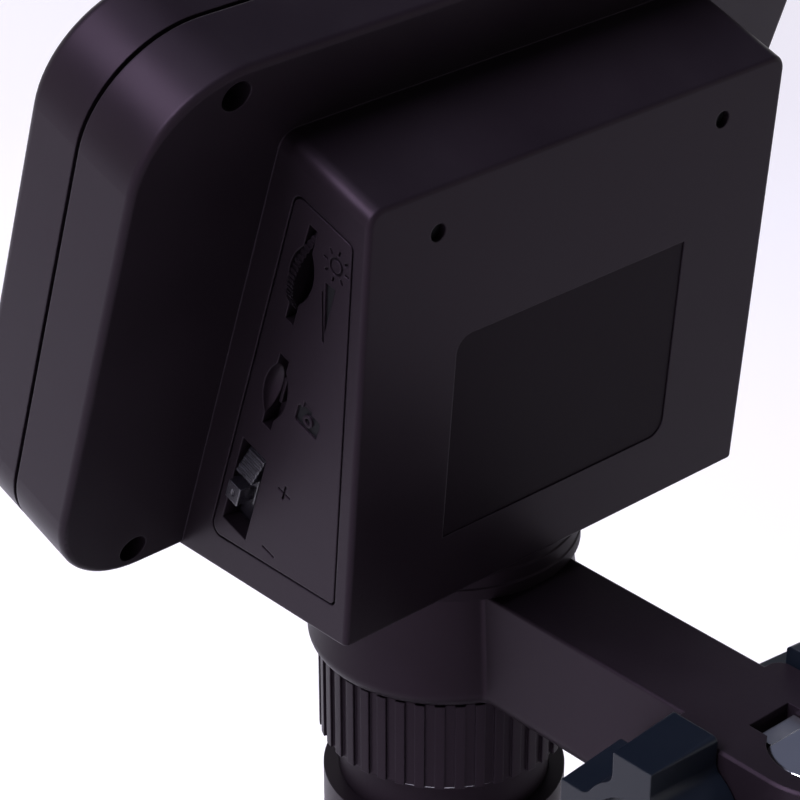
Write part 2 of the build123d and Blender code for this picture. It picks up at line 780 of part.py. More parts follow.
# ================================================================== barrel and optics
barrel_bottom = arm_top - barrel_length
light_board_bottom = barrel_bottom - board_thickness
light_cover_bottom = light_board_bottom - led_height - light_cover_thickness
focus_top = arm_top - arm_height - facing
focus_bottom = focus_top - focus_ring_length
pin_z = (focus_bottom + focus_top) / 2
clip_ring_thickness = 1.2
clip_ring_depth = 0.8
clip_ring_width = 1.6
clip_ring_opening = 4.0
clip_ring_bottom = focus_bottom - facing - clip_ring_thickness
focus_groove = drive_pin_radius + focus_travel + facing
carrier_bottom = light_board_bottom + board_thickness + focus_travel + facing
lens_thickness = 3.4
lens_edge = 1.6


def barrel_tube():
    """Tube that the arm's ring holds, with the flange and neck that carry the head."""
    body = upright(0, optic_y, barrel_bottom, barrel_radius, barrel_length)
    flange = upright(0, optic_y, arm_top, flange_radius, flange_thickness)
    body += chamfer(flange.faces().sort_by(Axis.Z)[-1].edges(), neck_chamfer)
    collar = upright(0, optic_y, arm_top, collar_radius, flange_thickness + collar_thickness)
    body += chamfer(collar.faces().sort_by(Axis.Z)[-1].edges(), neck_chamfer)
    body += upright(0, optic_y, arm_top, neck_radius, neck_top)
    body += upright(0, optic_y, arm_top, spigot_radius, neck_top + spigot_height)
    body -= upright(0, optic_y, barrel_bottom, barrel_bore, head_z + spigot_height - barrel_bottom)
    groove_z = clip_ring_bottom
    ring = upright(0, optic_y, groove_z, barrel_radius + facing, clip_ring_thickness)
    ring -= upright(0, optic_y, groove_z, barrel_radius - clip_ring_depth, clip_ring_thickness)
    body -= ring
    slot_length = 2 * (drive_pin_radius + focus_travel + facing)
    slot = slab(Plane(origin=(0, 0, pin_z), x_dir=(0, 1, 0), z_dir=(1, 0, 0)), (optic_y, 0),
                (2 * (drive_pin_radius + running), slot_length), 0, 2 * barrel_radius)
    body -= slot
    for x, y in neck_screw_places():
        body -= upright(x, y, head_z + wall - neck_screw_length - facing,
                        case_screw_radius + seat, neck_screw_length)
    return body


def neck_screw_places():
    """Three screws that hold the rear housing to the neck, from inside."""
    circle = (neck_radius + spigot_radius) / 2
    places = []
    for number in range(neck_screw_count):
        angle = math.pi / 2 + 2 * math.pi * number / neck_screw_count
        places.append((circle * math.cos(angle), optic_y + circle * math.sin(angle)))
    return places


def retaining_ring():
    """Open clip in the barrel's groove, which keeps the focus ring on."""
    z = clip_ring_bottom
    outer = barrel_radius - clip_ring_depth + clip_ring_width
    ring = upright(0, optic_y, z, outer, clip_ring_thickness)
    ring -= upright(0, optic_y, z, barrel_radius - clip_ring_depth + seat, clip_ring_thickness)
    gap = slab(Plane(origin=(0, 0, z)), (0, optic_y + outer), (clip_ring_opening, outer), 0,
               clip_ring_thickness)
    return ring - gap


def focus_ring():
    """Knurled ring that turns on the barrel and drives the lens carrier's pin."""
    floor = Plane(origin=(0, optic_y, focus_bottom))
    ring = push(toothed(focus_ring_ribs, focus_ring_radius, focus_ring_rib_depth, even_teeth), floor,
                focus_ring_length)
    ring -= upright(0, optic_y, focus_bottom, barrel_radius + running, focus_ring_length)
    groove_radius = barrel_radius + drive_pin_radius + facing
    ring -= upright(0, optic_y, pin_z - focus_groove, groove_radius, 2 * focus_groove)
    return ring


def lens_carrier():
    """Inner tube that holds the lenses and slides in the barrel, with its drive pin."""
    outer = barrel_bore - running
    body = upright(0, optic_y, carrier_bottom, outer, lens_carrier_length)
    body -= upright(0, optic_y, carrier_bottom, lens_carrier_bore, lens_carrier_length)
    lip = lens_carrier_bore - lens_edge / 2
    body += upright(0, optic_y, carrier_bottom, outer, lens_edge / 2) \
        - upright(0, optic_y, carrier_bottom, lip, lens_edge / 2)
    pin = Plane(origin=(lens_carrier_bore + lens_edge, optic_y, pin_z), x_dir=(0, 1, 0),
                z_dir=(1, 0, 0))
    body += rod(pin, (0, 0), drive_pin_radius,
                barrel_radius + drive_pin_radius - lens_carrier_bore - lens_edge)
    return body


def lens(z, bulge):
    """Lens with one curved face of the given height, convex upwards."""
    rim = lens_carrier_bore - seat
    ball = (rim ** 2 + bulge ** 2) / (2 * bulge)
    body = upright(0, optic_y, z, rim, lens_edge + bulge)
    return body & (Pos(0, optic_y, z + lens_edge + bulge - ball) * Sphere(ball))


def lenses():
    """Two lens elements in the carrier."""
    first = carrier_bottom + lens_edge / 2
    return [lens(first, lens_thickness - lens_edge),
            lens(first + lens_carrier_length / 2, (lens_thickness - lens_edge) / 2)]


def light_housing():
    """Cup at the barrel's end that holds the ring of lamps."""
    body = upright(0, optic_y, light_cover_bottom, light_housing_radius, light_housing_length)
    body = chamfer(body.faces().sort_by(Axis.Z)[0].edges(), light_chamfer)
    body -= upright(0, optic_y, barrel_bottom, barrel_radius + seat, light_housing_length)
    body -= upright(0, optic_y, light_cover_bottom, barrel_radius + seat,
                    barrel_bottom - light_cover_bottom)
    return body


def led_board():
    """Ring-shaped board that carries the lamps."""
    z = light_board_bottom
    body = upright(0, optic_y, z, barrel_radius, board_thickness)
    return body - upright(0, optic_y, z, lens_carrier_bore, board_thickness)


def led_lamps():
    """Lamps in a circle under the ring board."""
    lamps = []
    for number in range(led_count):
        angle = 2 * math.pi * (number + 0.5) / led_count
        x = led_circle * math.cos(angle)
        y = optic_y + led_circle * math.sin(angle)
        lamps.append(upright(x, y, light_board_bottom - led_height, led_radius, led_height))
    return lamps


def light_cover():
    """Clear ring over the lamps."""
    body = upright(0, optic_y, light_cover_bottom, barrel_radius, light_cover_thickness)
    return body - upright(0, optic_y, light_cover_bottom, lens_carrier_bore,
                          light_cover_thickness)


# ================================================================== screen head
seam_low = rear_shell_depth - shadow_gap / 2
seam_high = rear_shell_depth + shadow_gap / 2
bezel_inner = head_depth - wall
screw_seat = case_screw_well
boss_top = case_screw_well + wall


def head_outline(gap=0.0):
    """Rounded outline of the screen head, drawn in by a gap."""
    size = (head_width - 2 * gap, head_height - 2 * gap)
    return Pos(0, head_height / 2) * RectangleRounded(size[0], size[1], head_corner - gap)


def case_screw_places():
    """Places of the four screws that join the two shells, on the face plane."""
    away = head_width / 2 - case_screw_in
    return [(sx * away, up) for sx in (-1, 1)
            for up in (case_screw_up, head_height - case_screw_up)]


def box_prism(insets, half_width):
    """Solid with the rear housing's side outline, drawn in by four distances."""
    start = Plane(origin=(-half_width, junction_y, head_z),
                  x_dir=(0, math.cos(tilt), -math.sin(tilt)), z_dir=(1, 0, 0))
    return push(polygon(inset(box_outline, insets)), start, 2 * half_width)


def rear_box():
    """Outer shape of the box behind the screen, with its four kinds of edges."""
    box = box_prism((0, 0, 0, -wall), box_width / 2)
    ends = box_outline[2], box_outline[3]
    height = (ends[0][1] + ends[1][1]) / 2

    def place(edge):
        return side.to_local_coords(edge.center())

    shoulders = [e for e in along(box, side.x_dir) if place(e).Y > height - wall]
    box = fillet(shoulders, box_shoulder_round)
    rear = [e for e in box.edges() if abs(back.to_local_coords(e.center()).Z) < wall / 20
            and place(e).Y > box_outline[1][1] + wall]
    box = fillet(rear, box_back_round)
    feet = [e for e in box.edges() if abs(e.center().Z - head_z) < wall / 20
            and place(e).X > 0]
    return fillet(feet, box_foot_round)


def rear_screw_places():
    """Rear screws, on the back plane."""
    across_back = box_width / 2 - rear_screw_in
    return [(-across_back, rear_screw_up), (across_back, rear_screw_up)]


def rear_housing():
    """One-piece moulding: the screen head's rear shell and the box behind it."""
    shell = push(head_outline(), face, seam_high)
    rim = [e for e in shell.edges() if abs(face.to_local_coords(e.center()).Z) < wall / 20]
    shell = fillet(rim, shell_edge_round)
    body = shell + rear_box()
    groove = push(head_outline(), face.offset(seam_low), shadow_gap)
    body -= groove - push(head_outline(shadow_gap_depth), face.offset(seam_low), shadow_gap)
    body -= push(head_outline(wall), face.offset(wall), head_depth)
    body -= box_prism((wall, wall, wall, -2 * wall), box_width / 2 - wall)
    for place in case_screw_places():
        boss = rod(face.offset(wall / 2), place, case_boss_radius, boss_top - wall / 2)
        body += boss & push(head_outline(shell_edge_round), face, head_depth)
        body -= rod(face, place, case_screw_well_radius, screw_seat)
        body -= rod(face, place, case_screw_radius + sliding, boss_top)
    for sign, up in rail_places():
        x = sign * (box_width / 2 - wall - rail_reach / 2)
        body += slab(face, (x, up), (rail_reach, rail_width), 0, -(side_board_back
                                                                   - board_thickness))
    body -= upright(0, optic_y, head_z, spigot_radius + seat, wall)
    for x, y in neck_screw_places():
        body -= upright(x, y, head_z, case_screw_radius + sliding, wall)
    body -= push(side_outline(0), side, -panel_rim)
    body -= push(side_outline(panel_ledge), side, -wall)
    label_centre = (0, label_up + label_height / 2)
    body -= push(label_outline(label_centre, 0), back, -label_recess)
    for place in rear_screw_places():
        body -= rod(back, place, rear_screw_well_radius, -wall)
    body -= rod(far_side, inlet_place, inlet_radius + sliding, wall)
    body -= slab(far_side, card_place, (card_thickness + 2 * sliding, card_width + 2 * sliding), 0,
                 wall)
    return body


def rail_places():
    """Side (+1 or -1) and height of the ledges that the side boards rest on."""
    right = (zoom_slot[1] - rail_width, wheel_slot[1] + rail_width / 2)
    left = (inlet_place[1] - rail_width, card_place[1] + rail_width)
    return [(1, up) for up in right] + [(-1, up) for up in left]


def side_outline(gap):
    """Outline of the side panel's recess, drawn in by a gap, on the side plane."""
    insets = (panel_inset_bottom + gap, panel_inset_back + gap, panel_inset_top + gap,
              panel_inset_front + gap)
    outline = polygon(inset(box_outline, insets))
    middle = outline.center().X
    front = [v for v in outline.vertices() if v.X < middle]
    outline = fillet(front, max(panel_front_corner - gap, panel_least_corner))
    rear = [v for v in outline.vertices() if v.X > middle]
    return fillet(rear, max(panel_corner - gap, panel_least_corner))


def label_outline(centre, gap):
    """Label with two rounded corners and two sharp ones."""
    half_x = label_width / 2 - gap
    half_y = label_height / 2 - gap
    outline = Pos(*centre) * Rectangle(2 * half_x, 2 * half_y)
    rounded = [v for v in outline.vertices() if (v.X - centre[0]) * (v.Y - centre[1]) < 0]
    return fillet(rounded, label_corner)


def front_bezel():
    """Front shell with the screen window and the button holes."""
    body = push(head_outline(), face.offset(seam_high), head_depth - seam_high)
    front = [e for e in body.edges()
             if abs(face.to_local_coords(e.center()).Z - head_depth) < wall / 20]
    body = fillet(front, bezel_edge_round)
    body -= push(head_outline(wall), face.offset(seam_high), bezel_inner - seam_high)
    centre = (0, lcd_centre_up)
    body -= slab(face.offset(bezel_inner), centre, (window_width, window_height), glass_border / 2,
                 wall)
    glass = (window_width + 2 * glass_border, window_height + 2 * glass_border)
    body -= slab(face.offset(head_depth - glass_thickness), centre, glass, glass_border,
                 glass_thickness)
    for place in case_screw_places():
        boss = rod(face.offset(boss_top), place, case_boss_radius, bezel_inner - boss_top)
        body += boss & push(head_outline(wall + sliding), face.offset(boss_top), head_depth)
        body -= rod(face.offset(boss_top), place, case_screw_radius + seat,
                    case_screw_length)
    for x, y in button_places():
        hole = (button_width + 2 * sliding, button_height + 2 * sliding)
        body -= slab(face.offset(bezel_inner), (x, y), hole, button_height / 3, wall)
    for x, y in button_board_posts():
        body += rod(face.offset(button_board_top), (x, y), button_post_radius,
                    bezel_inner - button_board_top)
    return body


def screen_glass():
    """Clear window over the screen."""
    size = (window_width + 2 * glass_border - 2 * sliding,
            window_height + 2 * glass_border - 2 * sliding)
    return slab(face.offset(head_depth - glass_thickness), (0, lcd_centre_up), size,
                glass_border - sliding, glass_thickness)


def lcd_module():
    """Display module behind the window."""
    return slab(face.offset(bezel_inner - lcd_thickness), (0, lcd_centre_up),
                (lcd_width, lcd_height), 0, lcd_thickness)


main_board_size = (92.0, 50.0)
main_board_gap = 1.4             # between the display and the board
main_board_back = bezel_inner - lcd_thickness - main_board_gap - board_thickness
pad_size = (8.0, 4.0)
# Parts on the board: place from its centre, width, height and thickness.
board_parts = ((0, 8, 14, 14, 1.3), (22, 6, 9, 12, 1.1), (-24, 10, 7, 7, 1.0),
               (-26, -10, 8, 8, 3.2), (14, -14, 16, 5, 2.2), (36, -8, 6, 10, 1.8))


def main_board():
    """Main circuit board on four spacers behind the display."""
    board = slab(face.offset(main_board_back), (0, lcd_centre_up), main_board_size,
                 2 * board_corner, board_thickness)
    pieces = [board]
    for sx in (-1, 1):
        for sy in (-1, 1):
            x = sx * (main_board_size[0] - 2 * pad_size[0]) / 2
            y = lcd_centre_up + sy * (main_board_size[1] - 2 * pad_size[1]) / 2
            pieces.append(slab(face.offset(main_board_back + board_thickness), (x, y), pad_size,
                               0, main_board_gap))
    return pieces


def board_components():
    """Chips and the coil on the back of the main board."""
    pieces = []
    for x, y, width, height, thick in board_parts:
        pieces.append(slab(face.offset(main_board_back - thick), (x, lcd_centre_up + y),
                           (width, height), 0, thick))
    return pieces


# ================================================================== front buttons
stem_gap = 0.1
button_board_top = bezel_inner - button_flange - stem_gap - button_travel - switch_height
button_post_radius = 2.0


def button_places():
    """Centres of the front buttons on the face plane."""
    first = -button_pitch * (len(button_names) - 1) / 2
    return [(first + number * button_pitch, button_up) for number in range(len(button_names))]


def button_board_posts():
    """Posts of the front shell that the button board stands on."""
    edge = button_pitch * (len(button_names) - 1) / 2 + button_pitch / 2
    return [(-edge, button_up), (edge, button_up)]


def button(place):
    """Front button: cap, and a flange that keeps it in."""
    x, y = place
    margin = 2 * (2 * sliding + button_lip)
    flange = (button_width + margin, button_height + margin)
    cap = slab(face.offset(bezel_inner - button_flange / 2), (x, y), (button_width, button_height),
               button_height / 3, button_flange / 2 + wall + button_proud)
    tops = [e for e in cap.edges()
            if face.to_local_coords(e.center()).Z > head_depth + button_proud - stem_gap]
    cap = fillet(tops, button_proud / 2)
    return cap + slab(face.offset(bezel_inner - button_flange), (x, y), flange, button_height / 3,
                      button_flange)


def button_board():
    """Board with one switch under each front button."""
    posts = button_board_posts()
    width = 2 * posts[1][0] + 2 * button_post_radius
    pieces = [slab(face.offset(button_board_top - board_thickness), (0, button_up),
                   (width, 2 * button_height), board_corner, board_thickness)]
    for x, y in button_places():
        pieces.append(slab(face.offset(button_board_top), (x, y), (switch_width, switch_width),
                           switch_corner, switch_height))
    return pieces


# ================================================================== side panel and its controls
inlet_place = (11.2, 24.0)
inlet_radius = 4.0
inlet_bore = 3.0
inlet_pin = 1.0
inlet_body = (9.0, 10.0, 13.0)           # back, up, inwards
inlet_depth = 11.0
card_place = (8.0, 43.0)
card_width = 11.0
card_thickness = 1.0
card_length = 15.0
card_proud = 1.2
socket_wall = 0.5
side_board_back = 6.6                    # rear face of the side boards
side_board_width = 14.0
flange_thickness_in = 1.2                # flanges behind the panel
control_depth = panel_pad + sliding + flange_thickness_in
rail_width = 4.0                         # ledges of the housing that the side boards rest on
rail_reach = 4.4
dimmer_size = (7.6, 11.0)
dimmer_shaft = 1.25
snap_size = (5.0, 6.0)
zoom_switch_size = (6.0, 9.0)


def spindle(centre, half_length, depth):
    """Lemon-shaped cutter: an arc turned about its chord, which lies on the side plane."""
    arc = ThreePointArc((-half_length, 0), (0, depth), (half_length, 0))
    chord = Line((half_length, 0), (-half_length, 0))
    body = revolve(make_face(arc + chord), Axis.X, 360)
    return side * Pos(centre[0], centre[1], 0) * Rot(0, 0, 90) * body


def symbols():
    """Engraved symbols of the side controls, as one cutter."""
    sun = (wheel_slot[0] + sun_at[0], wheel_slot[1] + sun_at[1])
    art = Pos(*sun) * (Circle(sun_radius) - Circle(sun_radius - symbol_stroke))
    for number in range(sun_rays):
        turn = Rot(0, 0, 360 * number / sun_rays)
        art += Pos(*sun) * turn * Pos(ray_at, 0) * Rectangle(ray_length, symbol_stroke)
    wedge = [(wheel_slot[0] + x, wheel_slot[1] + y) for x, y in wedge_outline]
    art += polygon(wedge)
    start, end = [(wheel_slot[0] + x, wheel_slot[1] + y) for x, y in wedge_line]
    art += polygon([start, (start[0] + symbol_stroke, start[1]), (end[0] + symbol_stroke, end[1]),
                    end])
    camera = (key_slot[0] + camera_at[0], key_slot[1] + camera_at[1])
    case = RectangleRounded(camera_size[0], camera_size[1], camera_corner)
    hump = Pos(-camera_lens / 2, camera_size[1] / 2) * Rectangle(*camera_hump)
    art += Pos(*camera) * (case + hump - Circle(camera_lens) + Circle(camera_lens / 2))
    for up, bars in ((plus_up, (0, 90)), (minus_up, (0,))):
        for bar in bars:
            art += Pos(zoom_slot[0] + sign_at, zoom_slot[1] + up) * Rot(0, 0, bar) \
                * Rectangle(sign_length, symbol_stroke)
    return push(art, side, -symbol_depth)


def side_panel():
    """Inset panel with the slots and scoops of the side controls."""
    body = push(side_outline(panel_gap), side, -panel_rim + seat)
    body += push(side_outline(panel_ledge + panel_gap), side, -panel_pad)
    for back_at, up, width, length in (wheel_slot, key_slot, zoom_slot):
        body -= slab(side, (back_at, up), (width, length), 0, -panel_pad)
    body -= spindle(wheel_slot, *wheel_scoop)
    body -= spindle(key_slot, *key_scoop)
    return body - symbols()


def wheel_plane():
    """Plane across the brightness wheel's axis, through its middle."""
    centre = side.from_local_coords(Vector(wheel_slot[0], wheel_slot[1],
                                           wheel_proud - wheel_radius))
    return Plane(origin=centre, x_dir=(1, 0, 0), z_dir=face.z_dir)


def brightness_wheel():
    """Thin knurled thumb wheel of the lamp dimmer."""
    plane = wheel_plane()
    body = push(toothed(wheel_ribs, wheel_radius, wheel_rib_depth, even_teeth),
                plane.offset(-wheel_thickness / 2), wheel_thickness)
    return body - rod(plane.offset(-wheel_thickness / 2), (0, 0), dimmer_shaft + running,
                      wheel_thickness)


def snapshot_key():
    """Sprung key deep in the middle slot, with a thin tab that stands up from it."""
    back_at, up, width, length = key_slot
    inner = panel_pad + sliding
    blade = slab(side.offset(-key_recess), (back_at, up), (width - 2 * sliding, length - 2 * facing),
                 0, key_recess - inner)
    tab_at = back_at + width / 2 - sliding - key_tab_thickness
    tab = slab(side.offset(-key_tab_recess), (tab_at, up), (key_tab_thickness, key_tab_length), 0,
               key_tab_recess - inner)
    flange = slab(side.offset(-inner), (back_at, up), (width + 2 * facing, length + 4 * facing),
                  0, -flange_thickness_in)
    stem = slab(side.offset(-control_depth), (back_at, up), (width, width), 0, -key_stem)
    return blade + tab + flange + stem


def zoom_slider():
    """Sprung zoom slider: a plate with a ribbed ramp at its upper end and a block below it."""
    back_at, up, width, length = zoom_slot
    top = zoom_knob_length / 2
    crest_at = top - zoom_ramp_run
    block_top = crest_at - zoom_valley
    block_bottom = block_top - zoom_block[1]
    low = -panel_pad - sliding
    plate_z = -zoom_plate_recess
    outline = [(block_bottom, low), (block_bottom, plate_z + sliding),
               (crest_at, plate_z + sliding)]
    step = zoom_ramp_run / zoom_ribs
    rise = zoom_ramp_rise / zoom_ribs
    level = plate_z + zoom_ramp_rise
    for rib in range(zoom_ribs):
        outline += [(crest_at + rib * step, level - rib * rise),
                    (crest_at + (rib + zoom_rib_share) * step, level - rib * rise),
                    (crest_at + (rib + zoom_groove_share) * step, level - (rib + 1) * rise - seat)]
    outline += [(top, plate_z - rise), (top, low)]
    start = Plane(origin=side.from_local_coords(Vector(back_at - zoom_knob_width / 2, up, 0)),
                  x_dir=side.y_dir, z_dir=side.x_dir)
    body = push(polygon(outline), start, zoom_knob_width)
    block_middle = up + (block_top + block_bottom) / 2
    block_at = (back_at - (zoom_knob_width - zoom_block[0]) / 2, block_middle)
    body += slab(side.offset(plate_z), block_at, zoom_block, 0, zoom_block_proud - plate_z)
    body -= slab(side.offset(zoom_block_proud), block_at, zoom_mark, 0, -sliding)
    pocket = zoom_knob_width - zoom_block[0] - zoom_rim
    pocket_at = (back_at + zoom_knob_width / 2 - zoom_rim - pocket / 2, block_middle)
    body -= slab(side, pocket_at, (pocket, zoom_block[1]), 0, -zoom_pocket_depth)
    flange = slab(side.offset(low), (back_at + sliding, up),
                  (width + 2 * sliding, length + 2 * zoom_travel + 2 * facing), 0,
                  -flange_thickness_in)
    return body + flange


def side_board():
    """Board inside the +X wall, parallel to the screen, that the side controls act on."""
    start = face.offset(-side_board_back)
    x = box_width / 2 - control_depth - sliding - side_board_width / 2
    low = zoom_slot[1] - zoom_slot[3] / 2
    high = wheel_slot[1] + wheel_slot[3] / 2
    return slab(start, (x, (low + high) / 2), (side_board_width, high - low), board_corner,
                board_thickness)


def side_switches():
    """Dimmer, snapshot switch and zoom switch on the side board."""
    rear = face.offset(-side_board_back)
    centre = face.to_local_coords(wheel_plane().origin)
    gap = wheel_slot[0] - wheel_thickness / 2 - side_board_back - sliding
    dimmer = slab(rear, (centre.X, centre.Y), dimmer_size, switch_corner, -gap)
    dimmer += rod(rear, (centre.X, centre.Y), dimmer_shaft, -(gap + sliding + wheel_thickness))
    key_reach = control_depth + key_stem + key_travel + stem_gap
    snap_x = box_width / 2 - key_reach - snap_size[0] / 2
    snap = slab(rear, (snap_x, key_slot[1]), snap_size, switch_corner,
                -(key_slot[0] + key_slot[2] / 2 - side_board_back))
    zoom_x = box_width / 2 - control_depth - sliding - zoom_switch_size[0] / 2
    zoom = slab(rear, (zoom_x, zoom_slot[1]), zoom_switch_size, switch_corner,
                -(zoom_slot[0] + zoom_slot[2] / 3 - side_board_back))
    return [dimmer, snap, zoom]


# ================================================================== power, card and sensor
def io_board():
    """Board inside the -X wall with the card socket."""
    start = face.offset(-side_board_back)
    x = -(box_width / 2 - wall - sliding - side_board_width / 2)
    low = inlet_place[1] - inlet_body[1] / 2 - board_corner
    high = card_place[1] + card_width / 2 + rail_width - board_corner
    board = slab(start, (x, (low + high) / 2), (side_board_width, high - low), board_corner,
                 board_thickness)
    outside = far_side.offset(wall + sliding)
    size = (card_thickness + 2 * socket_wall + 2 * sliding, card_width + 2 * socket_wall
            + 2 * sliding)
    socket = slab(outside, card_place, size, 0, card_length - wall)
    hole = (card_thickness + 2 * sliding, card_width + 2 * sliding)
    socket -= slab(outside, card_place, hole, 0, card_length - wall - 2 * socket_wall)
    return [board, socket]


def memory_card():
    """Removable memory card, a little proud of the -X wall."""
    return slab(far_side.offset(-card_proud), card_place, (card_thickness, card_width), 0,
                card_length)


def dc_inlet():
    """Power inlet with its centre pin."""
    start = far_side.offset(wall / 2)
    body = slab(far_side.offset(wall), inlet_place, inlet_body[:2], board_corner, inlet_body[2])
    body += rod(start, inlet_place, inlet_radius, inlet_body[2])
    body -= rod(start, inlet_place, inlet_bore, inlet_depth)
    return body + rod(start.offset(inlet_pin), inlet_place, inlet_pin, inlet_depth)


sensor_size = (7.0, 7.0, 1.2)
plug_size = (12.0, 4.0, 2.0)
battery_size = (46.0, 30.0, 7.0)
battery_corner = 1.5
battery_up = 34.0
battery_across = 6.0                     # towards the -X side
tray_wall = 1.2
ear_width = 6.0


def battery_plane():
    """Inner face of the back wall."""
    return back.offset(-wall)


def battery_tray():
    """Tray behind the battery, held by the rear screws."""
    plane = battery_plane()
    width = battery_size[0] + 2 * (tray_wall + sliding)
    height = battery_size[1] + 2 * (tray_wall + sliding)
    centre = (battery_across, battery_up)
    body = slab(plane, centre, (width, height), board_corner, -(tray_wall + battery_size[2]))
    body -= slab(plane.offset(-tray_wall), centre, (width - 2 * tray_wall, height - 2 * tray_wall),
                 0, -battery_size[2])
    low = battery_up + height / 2 - tray_wall
    high = rear_screw_up + ear_width / 2
    for x, up in rear_screw_places():
        body += slab(plane, (x, (low + high) / 2), (ear_width, high - low), board_corner,
                     -tray_wall)
        body += slab(plane, (x, up), (ear_width, ear_width), board_corner, -tray_ear)
        body -= rod(plane, (x, up), case_screw_radius + seat, -tray_ear)
    link = slab(plane, (0, low + ear_width / 2), (2 * rear_screw_places()[1][0], ear_width), 0,
                -tray_wall)
    return body + link


def battery():
    """Flat rechargeable cell in its tray."""
    return slab(battery_plane().offset(-tray_wall), (battery_across, battery_up),
                battery_size[:2], battery_corner, -battery_size[2])


def sensor_board():
    """Camera board on top of the barrel, with the image sensor looking down."""
    z = head_z + spigot_height
    screw_gap = case_screw_head_radius + sliding
    side_length = 2 * (neck_screw_places()[2][0] - screw_gap)
    board = slab(Plane(origin=(0, 0, z)), (0, optic_y), (side_length, side_length), board_corner,
                 board_thickness)
    sensor = slab(Plane(origin=(0, 0, z - sensor_size[2])), (0, optic_y), sensor_size[:2], 0,
                  sensor_size[2])
    plug = slab(Plane(origin=(0, 0, z + board_thickness)), (0, optic_y), plug_size[:2], 0,
                plug_size[2])
    return [board, sensor, plug]


def case_screws():
    """Four screws that join the two shells of the head."""
    into_head = Plane(origin=face.origin, x_dir=(-1, 0, 0), z_dir=-face.z_dir)
    seat_plane = into_head.offset(-screw_seat)
    return [screw(seat_plane, (-x, y), case_screw_radius, case_screw_length,
                  case_screw_head_radius, case_screw_head) for x, y in case_screw_places()]


def neck_screws():
    """Three screws that hold the rear housing on the neck, from inside."""
    floor = Plane(origin=(0, 0, head_z + wall))
    return [screw(floor, place, case_screw_radius, neck_screw_length, case_screw_head_radius,
                  case_screw_head) for place in neck_screw_places()]


def tray_screws():
    """Two screws that hold the battery tray; their tips show in the holes of the back."""
    inside = battery_plane().offset(-tray_ear)
    inwards = Plane(origin=inside.origin, x_dir=(1, 0, 0), z_dir=-back.z_dir)
    return [screw(inwards, (-x, up), case_screw_radius, tray_ear + wall / 2,
                  case_screw_head_radius, case_screw_head) for x, up in rear_screw_places()]


def label_plate():
    """Bare rating label in its recess on the back."""
    centre = (0, label_up + label_height / 2)
    return push(label_outline(centre, label_gap), back.offset(-label_recess), label_thickness)


# ================================================================== write the nodes
def write(name, shape):
    """Write one node's solids to its STEP file."""
    solids = shape if isinstance(shape, list) else [shape]
    solids = [solid for piece in solids for solid in piece.solids()]
    body = solids[0] if len(solids) == 1 else Compound(children=solids)
    body.label = name
    export_step(body, f"parts/{name}.step")


def main():
    nodes = {
        "base_casting": base_casting(), "base_cover": base_cover(), "rubber_feet": rubber_feet(),
        "foot_screws": foot_screws(), "stage_plate": stage_plate(), "clip_studs": clip_studs(),
        "left_stage_clip": stage_clip(-1), "right_stage_clip": stage_clip(1),
        "post": post(), "post_flange": post_flange(), "post_screw": post_screw(),
        "rack": rack(), "rack_screws": rack_screws(),
        "arm": arm(), "pinion_bushes": pinion_bushes(), "pinion_shaft": pinion_shaft(),
        "left_focus_knob": knob(-1), "right_focus_knob": knob(1),
        "knob_grub_screws": knob_grub_screws(), "post_lock_screw": post_lock(),
        "ring_clamp_screw": ring_screw(),
        "barrel_tube": barrel_tube(), "retaining_ring": retaining_ring(),
        "focus_ring": focus_ring(), "lens_carrier": lens_carrier(), "lenses": lenses(),
        "light_housing": light_housing(), "led_board": led_board(), "led_lamps": led_lamps(),
        "light_cover": light_cover(),
        "rear_housing": rear_housing(), "front_bezel": front_bezel(),
        "screen_glass": screen_glass(), "lcd_module": lcd_module(), "main_board": main_board(),
        "board_components": board_components(), "button_board": button_board(),
        "side_panel": side_panel(), "brightness_wheel": brightness_wheel(),
        "snapshot_key": snapshot_key(), "zoom_slider": zoom_slider(),
        "side_board": side_board(), "side_switches": side_switches(),
        "io_board": io_board(), "memory_card": memory_card(), "dc_inlet": dc_inlet(),
        "battery_tray": battery_tray(), "battery": battery(), "sensor_board": sensor_board(),
        "case_screws": case_screws(), "neck_screws": neck_screws(),
        "tray_screws": tray_screws(), "label_plate": label_plate(),
    }
    for name, place in zip(button_names, button_places()):
        nodes[name] = button(place)
    for name, shape in nodes.items():
        write(name, shape)


main()
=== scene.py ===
import json
import math

import bpy
import numpy as np
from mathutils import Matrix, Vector


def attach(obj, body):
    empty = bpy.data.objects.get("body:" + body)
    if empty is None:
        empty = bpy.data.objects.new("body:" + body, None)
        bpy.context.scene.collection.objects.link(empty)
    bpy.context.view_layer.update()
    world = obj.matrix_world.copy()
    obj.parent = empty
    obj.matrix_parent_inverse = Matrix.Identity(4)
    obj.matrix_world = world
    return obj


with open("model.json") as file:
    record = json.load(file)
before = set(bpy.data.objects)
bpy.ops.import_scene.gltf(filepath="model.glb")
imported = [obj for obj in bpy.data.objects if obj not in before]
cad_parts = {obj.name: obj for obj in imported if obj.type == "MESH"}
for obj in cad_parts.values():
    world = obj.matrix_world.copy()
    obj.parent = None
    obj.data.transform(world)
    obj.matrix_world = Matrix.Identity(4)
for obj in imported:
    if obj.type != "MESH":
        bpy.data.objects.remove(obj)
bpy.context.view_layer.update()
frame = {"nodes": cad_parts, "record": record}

MM = 0.001

# ------------------------------------------------------------------ places, in metres
STAGE_TOP = 15.5 * MM
OPTIC_Y = -23.0 * MM
HEAD_FOOT = Vector((0.0, -1.2 * MM, 142.8 * MM))     # middle of the housing's lower back edge
HEAD_DEPTH = 21.6 * MM
SCREEN_TILT = math.radians(18.8)
JUNCTION = Vector((0.0, -37.5 * MM, 142.8 * MM))     # screen head's lower rear edge
PANEL_FACE = 39.1 * MM                                # side panel's face, from the middle

